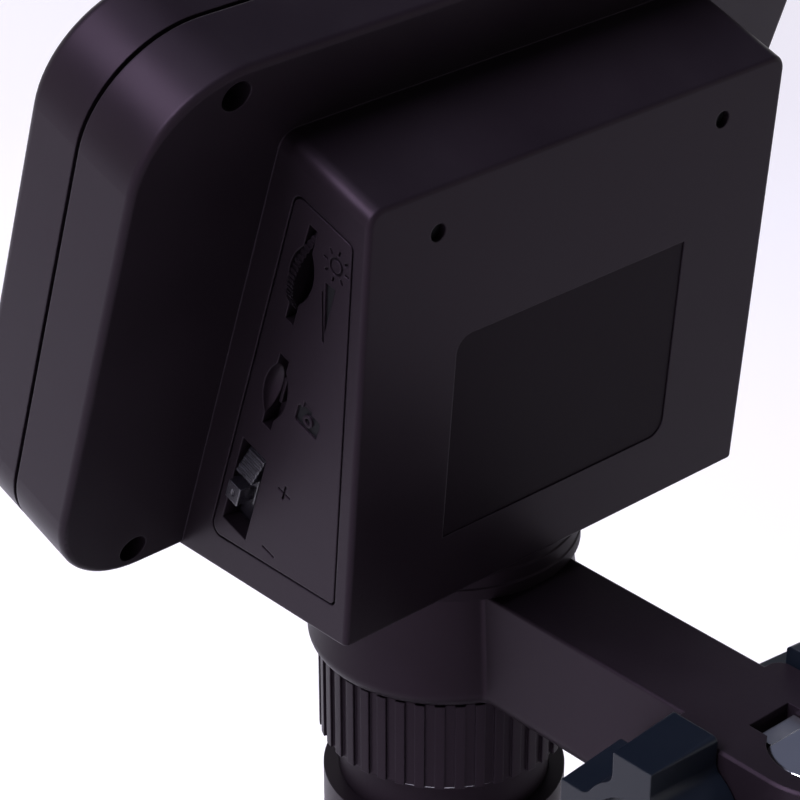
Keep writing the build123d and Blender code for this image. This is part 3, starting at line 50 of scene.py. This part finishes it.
# Heights here are measured up the screen from the junction.
SCREEN_UP = 49.3 * MM
PICTURE = (95.0 * MM, 53.9 * MM)
GLASS = (100.2 * MM, 59.0 * MM)                       # printed border's outline
GLASS_THICKNESS = 1.2 * MM
GLASS_CORNER = 1.6 * MM
PICTURE_CORNER = 0.6 * MM
BUTTON_UP = 8.6 * MM
BUTTON_PITCH = 16.0 * MM
BUTTON_PROUD = 0.8 * MM

# The screen's own axes: across, up the screen, and out of the screen.
ACROSS = Vector((1.0, 0.0, 0.0))
UP = Vector((0.0, math.sin(SCREEN_TILT), math.cos(SCREEN_TILT)))
OUT = Vector((0.0, -math.cos(SCREEN_TILT), math.sin(SCREEN_TILT)))

# ------------------------------------------------------------------ camera
CAMERA_FROM_HEAD = Vector((260.42, 256.65, 227.72)) * MM
CAMERA_YAW = math.radians(42.04)
CAMERA_PITCH = math.radians(29.11)
CAMERA_LENS = 133.35                                  # for a 36 mm wide picture

# ------------------------------------------------------------------ prints, in metres
PRINT_DEPTH = 0.02 * MM                               # reach into what carries the print
PRINT_PROUD = 0.03 * MM
SIGN_RADIUS = 1.15 * MM
SIGN_STROKE = 0.32 * MM
BAR_LENGTH = 2.4 * MM
BAR_PITCH = 0.75 * MM
POWER_BAR = (1.3 * MM, 0.75 * MM)                     # length, and height over the cap's middle
POWER_GAP = 70.0                                      # degrees of the power sign's opening
BORDER_BEHIND = (0.01 * MM, 0.06 * MM)                # from the back of the glass
STAGE_RINGS = (5.0 * MM, 15.0 * MM, 25.0 * MM)
STAGE_LINE = 0.25 * MM
TICK_LENGTH = 8.0 * MM
TICK_AT = 29.0 * MM
TICK_CORNER = 0.1 * MM
SYMBOL_DEPTH = 0.4 * MM                               # depth of the side panel's engravings
WEDGE = ((13.6 * MM, 62.8 * MM), (15.7 * MM, 55.4 * MM), (15.6 * MM, 63.1 * MM))
CAMERA_SIGN = (4.6 * MM, 3.0 * MM)
CAMERA_SIGN_AT = (16.9 * MM, 40.3 * MM)
CAMERA_SIGN_CORNER = 0.5 * MM

# ------------------------------------------------------------------ studio, in metres and watts
FLOOR_REACH = 4.0
PAPER = ((0.93, 0.92, 0.91), (0.95, 0.94, 0.93))
PAPER_GLOW = (0.12, 0.80)                             # near the object, and beyond the lamps
PAPER_GLOW_AT = (0.5, 2.2)
WORLD_LIGHT = 0.06
WORLD_TINT = (1.0, 0.91, 0.95, 1.0)
BAND = (0.2, 0.45)                                    # where the white band fades upwards
CEILING = (0.13, 0.14, 0.20)
LAMP_AIM = Vector((0.0, 0.0, 0.16))
LAMPS = (                                             # name, place, size, power, tint
    ("key", (0.70, -0.13, 1.02), 0.55, 21.0, (0.86, 0.83, 1.0)),
    ("top", (0.12, -0.1, 1.5), 0.7, 4.5, (0.82, 0.84, 1.0)),
    ("side", (1.05, 0.28, 0.38), 0.6, 2.0, (0.93, 0.84, 1.0)),
    ("fill", (-0.8, 0.9, 0.7), 0.6, 0.3, (1.0, 0.80, 0.76)),
    ("front", (-0.5, -1.2, 0.6), 0.8, 2.0, (1.0, 0.98, 0.96)),
)


# ================================================================== shader helpers
FLOAT = "NodeSocketFloat"
VECTOR = "NodeSocketVector"
WHITE = (1.0, 1.0, 1.0)


class Nodes:
    """Short names for making and joining the nodes of one tree."""

    def __init__(self, tree):
        self.tree = tree

    def add(self, kind, **values):
        """Node of a kind, with its properties and unlinked inputs set by name."""
        node = self.tree.nodes.new(kind)
        for name, value in values.items():
            if hasattr(node, name):
                setattr(node, name, value)
            else:
                node.inputs[name.replace("_", " ")].default_value = value
        return node

    def join(self, source, target):
        """Link from an output socket to an input socket."""
        self.tree.links.new(source, target)

    def math(self, operation, first, second):
        """Math node; numbers are set, sockets are linked."""
        node = self.add("ShaderNodeMath", operation=operation)
        for slot, value in enumerate((first, second)):
            if isinstance(value, (int, float)):
                node.inputs[slot].default_value = value
            else:
                self.join(value, node.inputs[slot])
        return node.outputs[0]

    def noise(self, vector, scale, detail=2.0, roughness=0.5):
        """Noise value between 0 and 1 at a scale per metre."""
        node = self.add("ShaderNodeTexNoise", Scale=scale, Detail=detail, Roughness=roughness)
        self.join(vector, node.inputs["Vector"])
        return node.outputs["Fac"]

    def remap(self, value, low, high, to_low=0.0, to_high=1.0):
        """Clamped linear map of a value."""
        node = self.add("ShaderNodeMapRange", From_Min=low, From_Max=high, To_Min=to_low,
                        To_Max=to_high)
        self.join(value, node.inputs["Value"])
        return node.outputs["Result"]

    def mix(self, factor, first, second):
        """Colour mix of two colours or colour sockets."""
        node = self.add("ShaderNodeMix", data_type="RGBA")
        self.join(factor, node.inputs["Factor"])
        for name, value in (("A", first), ("B", second)):
            socket = [s for s in node.inputs if s.name == name and s.type == "RGBA"][0]
            if isinstance(value, tuple):
                socket.default_value = (*value, 1.0)
            else:
                self.join(value, socket)
        return [s for s in node.outputs if s.type == "RGBA"][0]


def new_group(name, inputs, outputs):
    """Shader group with inputs (name, kind, default) and outputs (name, kind)."""
    tree = bpy.data.node_groups.new(name, "ShaderNodeTree")
    for label, kind, default in inputs:
        socket = tree.interface.new_socket(label, in_out="INPUT", socket_type=kind)
        if default is not None:
            socket.default_value = default
    for label, kind in outputs:
        tree.interface.new_socket(label, in_out="OUTPUT", socket_type=kind)
    nodes = Nodes(tree)
    return tree, nodes, nodes.add("NodeGroupInput"), nodes.add("NodeGroupOutput")


def grain_group():
    """Fine spark-eroded grain: two octaves of noise as a height, and slow patches as a tone."""
    tree, n, source, sink = new_group(
        "grain", [("Position", VECTOR, None), ("Size", FLOAT, 0.0002)],
        [("Height", FLOAT), ("Tone", FLOAT)])
    scale = n.math("DIVIDE", 1.0, source.outputs["Size"])
    fine = n.add("ShaderNodeTexNoise", Detail=3.0)
    n.join(source.outputs["Position"], fine.inputs["Vector"])
    n.join(scale, fine.inputs["Scale"])
    n.join(fine.outputs["Fac"], sink.inputs["Height"])
    patches = n.noise(source.outputs["Position"], 38.0, 4.0, 0.55)
    n.join(n.remap(patches, 0.3, 0.7), sink.inputs["Tone"])
    return tree


def edge_group():
    """Worn edges with a painted highlight: where a small bevel would turn the normal, broken up by
    noise. The mask lightens edges both as real wear and as painted edge highlight.
    """
    tree, n, source, sink = new_group(
        "worn_edges", [("Position", VECTOR, None), ("Radius", FLOAT, 0.0004)],
        [("Mask", FLOAT), ("Normal", VECTOR)])
    bevel = n.add("ShaderNodeBevel", samples=4)
    n.join(source.outputs["Radius"], bevel.inputs["Radius"])
    geometry = n.add("ShaderNodeNewGeometry")
    dot = n.add("ShaderNodeVectorMath", operation="DOT_PRODUCT")
    n.join(bevel.outputs[0], dot.inputs[0])
    n.join(geometry.outputs["Normal"], dot.inputs[1])
    turned = n.remap(n.math("SUBTRACT", 1.0, dot.outputs["Value"]), 0.02, 0.25)
    broken = n.remap(n.noise(source.outputs["Position"], 900.0, 4.0, 0.6), 0.38, 0.66)
    n.join(n.math("MULTIPLY", turned, broken), sink.inputs["Mask"])
    n.join(bevel.outputs[0], sink.inputs["Normal"])
    return tree


def dust_group():
    """Thin dust: more on faces that look up, in soft specks."""
    tree, n, source, sink = new_group(
        "dust", [("Position", VECTOR, None), ("Amount", FLOAT, 0.3)], [("Mask", FLOAT)])
    geometry = n.add("ShaderNodeNewGeometry")
    split = n.add("ShaderNodeSeparateXYZ")
    n.join(geometry.outputs["Normal"], split.inputs[0])
    facing = n.remap(split.outputs["Z"], 0.1, 1.0, 0.15, 1.0)
    cloud = n.remap(n.noise(source.outputs["Position"], 60.0, 5.0, 0.6), 0.42, 0.75)
    speck = n.remap(n.noise(source.outputs["Position"], 2600.0, 2.0, 0.5), 0.62, 0.74)
    both = n.math("ADD", n.math("MULTIPLY", cloud, 0.5), n.math("MULTIPLY", speck, 0.5))
    shown = n.math("MULTIPLY", n.math("MULTIPLY", both, facing), source.outputs["Amount"])
    n.join(shown, sink.inputs["Mask"])
    return tree


def brushed_group():
    """Fine drawn lines: noise stretched along one axis, as a height and a tone."""
    tree, n, source, sink = new_group(
        "brushed", [("Position", VECTOR, None)], [("Height", FLOAT), ("Tone", FLOAT)])
    stretch = n.add("ShaderNodeMapping", vector_type="POINT")
    stretch.inputs["Scale"].default_value = (1.0, 1.0, 40.0)
    n.join(source.outputs["Position"], stretch.inputs["Vector"])
    n.join(n.noise(stretch.outputs[0], 220.0, 4.0, 0.6), sink.inputs["Height"])
    n.join(n.remap(n.noise(source.outputs["Position"], 90.0, 3.0), 0.3, 0.7),
           sink.inputs["Tone"])
    return tree


GRAIN = grain_group()
EDGES = edge_group()
DUST = dust_group()
BRUSHED = brushed_group()


def start_material(name):
    """Empty material: its node helper, its shader and the object's coordinates."""
    material = bpy.data.materials.new(name)
    material.use_nodes = True
    material.node_tree.nodes.clear()
    n = Nodes(material.node_tree)
    output = n.add("ShaderNodeOutputMaterial")
    shader = n.add("ShaderNodeBsdfPrincipled")
    n.join(shader.outputs[0], output.inputs[0])
    place = n.add("ShaderNodeTexCoord").outputs["Object"]
    return material, n, shader, place


def use(n, tree, place, **values):
    """Places a shared group, fed with the coordinates and its own values."""
    node = n.add("ShaderNodeGroup", node_tree=tree)
    n.join(place, node.inputs["Position"])
    for name, value in values.items():
        node.inputs[name].default_value = value
    return node


def bumped(n, shader, height, strength, distance, normal):
    """Bump from a height, over a bevelled normal."""
    bump = n.add("ShaderNodeBump", Strength=strength, Distance=distance)
    n.join(height, bump.inputs["Height"])
    n.join(normal, bump.inputs["Normal"])
    n.join(bump.outputs[0], shader.inputs["Normal"])


DARKER, LIGHTER = 0.86, 1.14                          # patches of tone in paint and plastic
DUST_COLOUR = (0.15, 0.145, 0.15)
DUST_SHARE = 0.2                                      # of full dust, in colour and roughness
SMOOTHER, ROUGHER = 0.03, 0.04                        # patches of gloss in paint and plastic
EDGE_RADIUS = 0.0003
DULL = 0.88                                           # darkest patches of bare metal
LINE_DEPTH = 0.000004                                 # of the drawn lines in bare metal


# The default edge colour is lighter than the black bodies: partly real wear, partly a painted
# highlight along the rounded edges.
def coated(name, colour, roughness, grain=0.00018, depth=0.000012, worn=(0.030, 0.027, 0.035),
           wear=0.5, dust=0.12, edge=EDGE_RADIUS, gloss=0.10, gloss_tint=WHITE):
    """Moulded plastic or paint: grain, patches of tone, edges coloured as wear and as a painted
    highlight, and a little dust.
    """
    material, n, shader, place = start_material(name)
    shader.inputs["Specular IOR Level"].default_value = gloss
    shader.inputs["Specular Tint"].default_value = (*gloss_tint, 1.0)
    texture = use(n, GRAIN, place, Size=grain)
    edges = use(n, EDGES, place, Radius=edge)
    specks = use(n, DUST, place, Amount=dust)
    darker = tuple(c * DARKER for c in colour)
    lighter = tuple(c * LIGHTER for c in colour)
    body = n.mix(texture.outputs["Tone"], darker, lighter)
    # Edges take the lighter edge colour: partly real wear, partly a painted highlight along the
    # edges.
    rubbed_and_highlit = n.mix(n.math("MULTIPLY", edges.outputs["Mask"], wear), body, worn)
    dusted = n.math("MULTIPLY", specks.outputs["Mask"], DUST_SHARE)
    n.join(n.mix(dusted, rubbed_and_highlit, DUST_COLOUR), shader.inputs["Base Color"])
    rough = n.remap(texture.outputs["Tone"], 0.0, 1.0, roughness - SMOOTHER,
                    roughness + ROUGHER)
    n.join(n.math("ADD", rough, dusted), shader.inputs["Roughness"])
    bumped(n, shader, texture.outputs["Height"], 0.5, depth, edges.outputs["Normal"])
    return material


def metal(name, colour, roughness, spread=0.06):
    """Bare metal with drawn lines and soft edges; its roughness varies by the spread."""
    material, n, shader, place = start_material(name)
    shader.inputs["Metallic"].default_value = 1.0
    lines = use(n, BRUSHED, place)
    edges = use(n, EDGES, place, Radius=EDGE_RADIUS)
    dull = tuple(c * DULL for c in colour)
    n.join(n.mix(lines.outputs["Tone"], dull, colour), shader.inputs["Base Color"])
    n.join(n.remap(lines.outputs["Height"], 0.3, 0.7, roughness - spread, roughness + spread),
           shader.inputs["Roughness"])
    bumped(n, shader, lines.outputs["Height"], 0.4, LINE_DEPTH, edges.outputs["Normal"])
    return material


def clear(name, tint, roughness, ior=1.49):
    """Clear glass or acrylic, with faint smears in its gloss."""
    material, n, shader, place = start_material(name)
    shader.inputs["Transmission Weight"].default_value = 1.0
    shader.inputs["IOR"].default_value = ior
    shader.inputs["Base Color"].default_value = (*tint, 1.0)
    smear = n.noise(place, 55.0, 5.0, 0.6)
    n.join(n.remap(smear, 0.35, 0.75, roughness, roughness + 0.05), shader.inputs["Roughness"])
    return material


def circuit(name):
    """Green board: solder resist with faint copper tracks under it."""
    material, n, shader, place = start_material(name)
    tracks = n.add("ShaderNodeTexBrick", offset=0.35, Scale=320.0, Mortar_Size=0.03)
    n.join(place, tracks.inputs["Vector"])
    n.join(n.mix(tracks.outputs["Fac"], (0.012, 0.11, 0.045), (0.05, 0.24, 0.09)),
           shader.inputs["Base Color"])
    shader.inputs["Roughness"].default_value = 0.3
    shader.inputs["Coat Weight"].default_value = 0.4
    return material


PURPLE = (1.0, 0.71, 0.97)                            # cast of the black plastic and enamel


def black(name, level, roughness, **finish):
    """Black plastic or enamel of a level, with the purple cast in its body and its gloss."""
    return coated(name, tuple(level * c for c in PURPLE), roughness, gloss_tint=PURPLE, **finish)


def make_materials():
    """Every finish of the record, by its slot's name, and the finishes of single pieces."""
    return {
        "enamelled_casting": black("black_enamel", 0.0080, 0.42, gloss=0.11, grain=0.0009,
                                   depth=0.00002, wear=0.4),
        "matte_black_plastic": black("matt_black", 0.013, 0.55),
        "rubber": coated("foot_rubber", (0.016, 0.016, 0.016), 0.8, grain=0.0004, wear=0.1,
                         dust=0.6, gloss=0.3),
        "zinc_steel": metal("zinc", (0.60, 0.60, 0.62), 0.34),
        "white_plate": coated("stage_white", (0.78, 0.78, 0.76), 0.38, grain=0.0003,
                              depth=0.00001, worn=(0.6, 0.6, 0.58), wear=0.3, dust=0.15),
        "chrome": metal("chrome", (0.78, 0.78, 0.80), 0.12, spread=0.03),
        "spring_steel": metal("spring_steel", (0.52, 0.52, 0.55), 0.26),
        "ground_steel": metal("ground_post", (0.66, 0.66, 0.68), 0.14, spread=0.04),
        "rack_steel": metal("rack_steel", (0.44, 0.44, 0.46), 0.34),
        "brass": metal("bush_brass", (0.74, 0.55, 0.26), 0.3),
        "dark_plastic": black("moulded_black", 0.0074, 0.38),
        "panel_plastic": black("moulded_panel", 0.0080, 0.38, wear=0.4),
        "black_anodised": black("black_anodised", 0.0078, 0.5, grain=0.00012, depth=0.00001,
                                worn=(0.06, 0.055, 0.065), wear=0.5, gloss=0.08),
        "glass": clear("clear_glass", (0.98, 0.99, 0.99), 0.01),
        "display": coated("dark_display", (0.0035, 0.0035, 0.0045), 0.35, depth=0.0, wear=0.0,
                          dust=0.0, gloss=0.02),
        "screen_glass": clear("coated_glass", (0.97, 0.98, 1.0), 0.01, ior=1.3),
        "circuit_board": circuit("solder_resist"),
        "chip_plastic": coated("chip_epoxy", (0.014, 0.014, 0.015), 0.5),
        "led_white": coated("lamp_phosphor", (0.85, 0.80, 0.45), 0.35, worn=(0.9, 0.85, 0.6)),
        "grey_plastic": coated("key_grey", (0.055, 0.055, 0.062), 0.34, dust=0.1),
        "battery_foil": metal("cell_foil", (0.62, 0.62, 0.64), 0.3),
        "label_film": black("label_film", 0.0062, 0.45, grain=0.0006, depth=0.000004, wear=0.15,
                            dust=0.08, gloss=0.045),
        # The light bluish edge colour over a large share is a painted highlight along the ribs of
        # the slider's ramp, as well as wear.
        "slider_plastic": coated("glossy_slider", (0.010, 0.009, 0.0125), 0.24, grain=0.0004,
                                 gloss=1.0, worn=(0.10, 0.10, 0.13), wear=0.6, dust=0.05),
        # Half the level of the housing's black: painted shade for the wheel's side, which sits
        # deep in its slot.
        "wheel_plastic": black("wheel_shaded_black", 0.0036, 0.35, worn=(0.05, 0.047, 0.055), wear=0.3,
                               edge=0.00015, dust=0.05, gloss=0.06),
        "knob_plastic": coated("knob_black", (0.0040, 0.0060, 0.010), 0.30, gloss=0.2,
                               worn=(0.03, 0.035, 0.045), dust=0.1),
        "white_print": coated("white_print", (0.62, 0.62, 0.64), 0.5, depth=0.000003,
                              worn=(0.4, 0.4, 0.42), dust=0.2),
        "grey_print": coated("grey_print", (0.05, 0.05, 0.055), 0.5, depth=0.000003,
                             worn=(0.2, 0.2, 0.2), dust=0.2),
        "black_print": coated("black_print", (0.004, 0.004, 0.005), 0.5, depth=0.000003,
                              wear=0.1, dust=0.05, gloss=0.1),
        "black_steel": coated("blackened_steel", (0.006, 0.006, 0.007), 0.45, gloss=0.1,
                              wear=0.1),
    }


# Pieces with a finish of their own instead of their slot's.
OWN_FINISH = {"zoom_slider": "slider_plastic", "brightness_wheel": "wheel_plastic",
              "tray_screws": "black_steel", "screen_glass": "screen_glass",
              "left_focus_knob": "knob_plastic", "right_focus_knob": "knob_plastic"}

MATERIALS = make_materials()


def dress_frame():
    """Gives every CAD node its own finish, or the finish of its slot."""
    for part in frame["record"]["subparts"]:
        node = frame["nodes"][part["node"]]
        node.data.materials.clear()
        finish = OWN_FINISH.get(part["node"], part["material_slot"])
        node.data.materials.append(MATERIALS[finish])


# ================================================================== printed pieces, and painted shade in the engravings
# Planes that thin pieces lie on: origin, across, up and outward axis.
SCREEN_PLANE = (JUNCTION, ACROSS, UP, OUT)
SIDE_PLANE = (JUNCTION + PANEL_FACE * ACROSS, -OUT, UP, ACROSS)
STAGE_PLANE = (Vector((0.0, OPTIC_Y, STAGE_TOP)), ACROSS, Vector((0.0, 1.0, 0.0)),
               Vector((0.0, 0.0, 1.0)))


def on_plane(plane, flat, height):
    """Points of a plane: origin + x across + y up + height outwards."""
    origin, across, up, out = (np.array(axis) for axis in plane)
    return origin + flat[:, :1] * across + flat[:, 1:] * up + height * out


def round_outline(radius, centre=(0.0, 0.0), start=0.0, turn=360.0, count=48):
    """Arc of a circle: centre + radius (cos t, sin t), t from start over a turn in degrees."""
    closed = abs(turn) >= 360.0
    angle = np.radians(start + turn * np.linspace(0.0, 1.0, count, endpoint=not closed))
    return np.stack([np.cos(angle), np.sin(angle)], axis=1) * radius + np.array(centre)


def soft_rectangle(width, height, radius, centre=(0.0, 0.0), steps=8):
    """Rectangle with round corners: corner centre + radius (cos t, sin t), a quarter turn each."""
    angle = np.radians(np.linspace(0.0, 90.0, steps)[None, :] + np.arange(4)[:, None] * 90.0)
    signs = np.array([(1, 1), (-1, 1), (-1, -1), (1, -1)], dtype=float)
    middle = signs * (np.array([width, height]) / 2 - radius)
    ring = middle[:, None, :] + radius * np.stack([np.cos(angle), np.sin(angle)], axis=2)
    return ring.reshape(-1, 2) + np.array(centre)


def mesh_piece(name, points, faces, body, material):
    """Mesh object at the origin, from whole arrays, riding on a body."""
    mesh = bpy.data.meshes.new(name)
    mesh.from_pydata(points.tolist(), [], faces)
    mesh.update()
    piece = bpy.data.objects.new(name, mesh)
    bpy.context.scene.collection.objects.link(piece)
    mesh.materials.append(MATERIALS[material])
    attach(piece, body)
    return piece


def plate(name, plane, outline, low, high, body, slot, material):
    """Flat piece: an outline counted anticlockwise, at two heights, joined by a wall of quads."""
    count = len(outline)
    here = np.arange(count)
    ahead = np.roll(here, -1)
    wall = np.stack([here, ahead, ahead + count, here + count], axis=1)
    points = np.concatenate([on_plane(plane, outline, low), on_plane(plane, outline, high)])
    faces = wall.tolist() + [here[::-1].tolist(), (here + count).tolist()]
    return mesh_piece(name, points, faces, body, material)


def hoop(name, plane, outer, inner, low, high, body, slot, material):
    """Flat ring: a rectangle of two heights and two outlines, carried once round them."""
    count = len(outer)
    corners = np.arange(4)[:, None] * count
    here = np.arange(count)[None, :]
    ahead = np.roll(here, -1, axis=1)
    beyond = np.roll(corners, -1, axis=0)
    walls = np.stack([here + corners, ahead + corners, ahead + beyond, here + beyond], axis=2)
    points = np.concatenate([on_plane(plane, outer, low), on_plane(plane, outer, high),
                             on_plane(plane, inner, high), on_plane(plane, inner, low)])
    return mesh_piece(name, points, walls.reshape(-1, 4).tolist(), body, material)


def button_icons():
    """White prints on the five caps: bars, a triangle down, a ring, a triangle up and the
    power sign."""
    face_height = HEAD_DEPTH + BUTTON_PROUD
    heights = face_height - PRINT_DEPTH, face_height + PRINT_PROUD
    finish = "white_plate", "white_print"
    bar_corner = SIGN_STROKE / 2.1
    within = SIGN_RADIUS - SIGN_STROKE

    def at(number):
        return ((number - 2) * BUTTON_PITCH, BUTTON_UP)

    x, y = at(0)
    for row in (-1, 0, 1):
        bar = soft_rectangle(BAR_LENGTH, SIGN_STROKE, bar_corner, (x, y + row * BAR_PITCH), 5)
        plate(f"menu_bar_{row + 2}", SCREEN_PLANE, bar, *heights, "menu_button_cap", *finish)

    for number, body, turn, name in ((1, "down_button_cap", -90.0, "down_mark"),
                                     (3, "up_button_cap", 90.0, "up_mark")):
        triangle = round_outline(SIGN_RADIUS, at(number), turn, count=3)
        plate(name, SCREEN_PLANE, triangle, *heights, body, *finish)

    hoop("ok_ring", SCREEN_PLANE, round_outline(SIGN_RADIUS, at(2)),
         round_outline(within, at(2)), *heights, "ok_button_cap", *finish)

    arc = (at(4), 90.0 + POWER_GAP / 2, 360.0 - POWER_GAP, 40)
    broken_ring = np.concatenate([round_outline(SIGN_RADIUS, *arc),
                                  round_outline(within, *arc)[::-1]])
    plate("power_ring", SCREEN_PLANE, broken_ring, *heights, "power_button_cap", *finish)
    x, y = at(4)
    length, rise = POWER_BAR
    bar = soft_rectangle(SIGN_STROKE, length, bar_corner, (x, y + rise), 5)
    plate("power_bar", SCREEN_PLANE, bar, *heights, "power_button_cap", *finish)


def screen_border():
    """Black border printed on the back of the screen's glass."""
    outer = soft_rectangle(*GLASS, GLASS_CORNER, (0.0, SCREEN_UP))
    inner = soft_rectangle(*PICTURE, PICTURE_CORNER, (0.0, SCREEN_UP))
    low, high = (HEAD_DEPTH - GLASS_THICKNESS + height for height in BORDER_BEHIND)
    hoop("glass_border", SCREEN_PLANE, outer, inner, low, high, "head", "dark_plastic",
         "black_print")


def stage_marks():
    """Thin printed rings and a broken cross that centre the specimen under the lens."""
    shared = -PRINT_DEPTH, PRINT_PROUD, "base", "white_plate", "grey_print"
    for number, radius in enumerate(STAGE_RINGS):
        hoop(f"stage_ring_{number + 1}", STAGE_PLANE, round_outline(radius, count=96),
             round_outline(radius - STAGE_LINE, count=96), *shared)
    for number in range(4):
        across = number % 2 == 0
        place = TICK_AT if number < 2 else -TICK_AT
        size = (TICK_LENGTH, STAGE_LINE) if across else (STAGE_LINE, TICK_LENGTH)
        centre = (place, 0.0) if across else (0.0, place)
        plate(f"stage_tick_{number + 1}", STAGE_PLANE,
              soft_rectangle(*size, TICK_CORNER, centre, 3), *shared)


def panel_recess_shade():
    """Painted shade: dark sheets on the floor of the wedge's and the camera's engravings."""
    # Dark sheets in the recesses paint in the shade of the engravings, using the black print's
    # finish.
    shared = (-SYMBOL_DEPTH - PRINT_DEPTH, -SYMBOL_DEPTH + PRINT_PROUD, "head",
              "panel_plastic", "black_print")
    plate("wedge_painted_shade", SIDE_PLANE, np.array(WEDGE), *shared)
    camera_sign = soft_rectangle(*CAMERA_SIGN, CAMERA_SIGN_CORNER, CAMERA_SIGN_AT)
    plate("camera_sign_painted_shade", SIDE_PLANE, camera_sign, *shared)


# ================================================================== studio
def seen_directly(n):
    """1 for rays of the camera, of reflections and through glass, 0 for those that light."""
    path = n.add("ShaderNodeLightPath")
    shown = n.math("MAXIMUM", path.outputs["Is Camera Ray"], path.outputs["Is Glossy Ray"])
    return n.math("MAXIMUM", shown, path.outputs["Is Transmission Ray"])


def paper_floor():
    """White paper floor that glows a little, and more the farther it is from the object."""
    mesh = bpy.data.meshes.new("floor")
    corners = np.array([(-1, -1, 0), (1, -1, 0), (1, 1, 0), (-1, 1, 0)]) * FLOOR_REACH
    mesh.from_pydata(corners.tolist(), [], [(0, 1, 2, 3)])
    floor = bpy.data.objects.new("floor", mesh)
    bpy.context.scene.collection.objects.link(floor)
    material, n, shader, place = start_material("floor_paper")
    shader.inputs["Roughness"].default_value = 0.9
    shader.inputs["Specular IOR Level"].default_value = 0.2
    n.join(n.mix(n.noise(place, 400.0, 3.0), *PAPER), shader.inputs["Base Color"])
    shader.inputs["Emission Color"].default_value = (*WHITE, 1.0)
    away = n.add("ShaderNodeVectorMath", operation="LENGTH")
    n.join(place, away.inputs[0])
    glow = n.remap(away.outputs["Value"], *PAPER_GLOW_AT, *PAPER_GLOW)
    n.join(n.math("MULTIPLY", seen_directly(n), glow), shader.inputs["Emission Strength"])
    mesh.materials.append(material)


def surroundings():
    """Dim light all round. The camera sees white, and reflections see a white band that
    fades into a dim ceiling."""
    world = bpy.data.worlds.new("studio")
    bpy.context.scene.world = world
    world.use_nodes = True
    world.node_tree.nodes.clear()
    n = Nodes(world.node_tree)
    output = n.add("ShaderNodeOutputWorld")
    light = n.add("ShaderNodeBackground", Strength=WORLD_LIGHT, Color=WORLD_TINT)
    seen = n.add("ShaderNodeBackground", Strength=1.0)
    height = n.add("ShaderNodeSeparateXYZ")
    n.join(n.add("ShaderNodeTexCoord").outputs["Generated"], height.inputs[0])
    unseen = n.math("SUBTRACT", 1.0, n.add("ShaderNodeLightPath").outputs["Is Camera Ray"])
    dimmed = n.math("MULTIPLY", n.remap(height.outputs["Z"], *BAND), unseen)
    n.join(n.mix(dimmed, WHITE, CEILING), seen.inputs["Color"])
    mix = n.add("ShaderNodeMixShader")
    n.join(seen_directly(n), mix.inputs[0])
    n.join(light.outputs[0], mix.inputs[1])
    n.join(seen.outputs[0], mix.inputs[2])
    n.join(mix.outputs[0], output.inputs[0])


def soft_lamp(name, place, size, power, tint):
    """Square area lamp that looks at the screen head."""
    data = bpy.data.lights.new(name, "AREA")
    data.energy = power
    data.size = size
    data.color = tint
    lamp = bpy.data.objects.new(name, data)
    lamp.location = place
    lamp.rotation_mode = "QUATERNION"
    lamp.rotation_quaternion = (Vector(place) - LAMP_AIM).to_track_quat("Z", "Y")
    bpy.context.scene.collection.objects.link(lamp)


def camera():
    """Camera above and behind the panel side, close to the housing."""
    data = bpy.data.cameras.new("camera")
    data.lens = CAMERA_LENS
    data.sensor_width = 36.0
    data.clip_start = 0.01
    data.clip_end = 20.0
    eye = bpy.data.objects.new("camera", data)
    eye.location = HEAD_FOOT + CAMERA_FROM_HEAD
    eye.rotation_euler = (math.pi / 2 - CAMERA_PITCH, 0.0, math.pi - CAMERA_YAW)
    bpy.context.scene.collection.objects.link(eye)
    bpy.context.scene.camera = eye


bpy.context.scene.view_settings.view_transform = "Standard"
dress_frame()
button_icons()
screen_border()
stage_marks()
panel_recess_shade()
paper_floor()
surroundings()
for lamp in LAMPS:
    soft_lamp(*lamp)
camera()
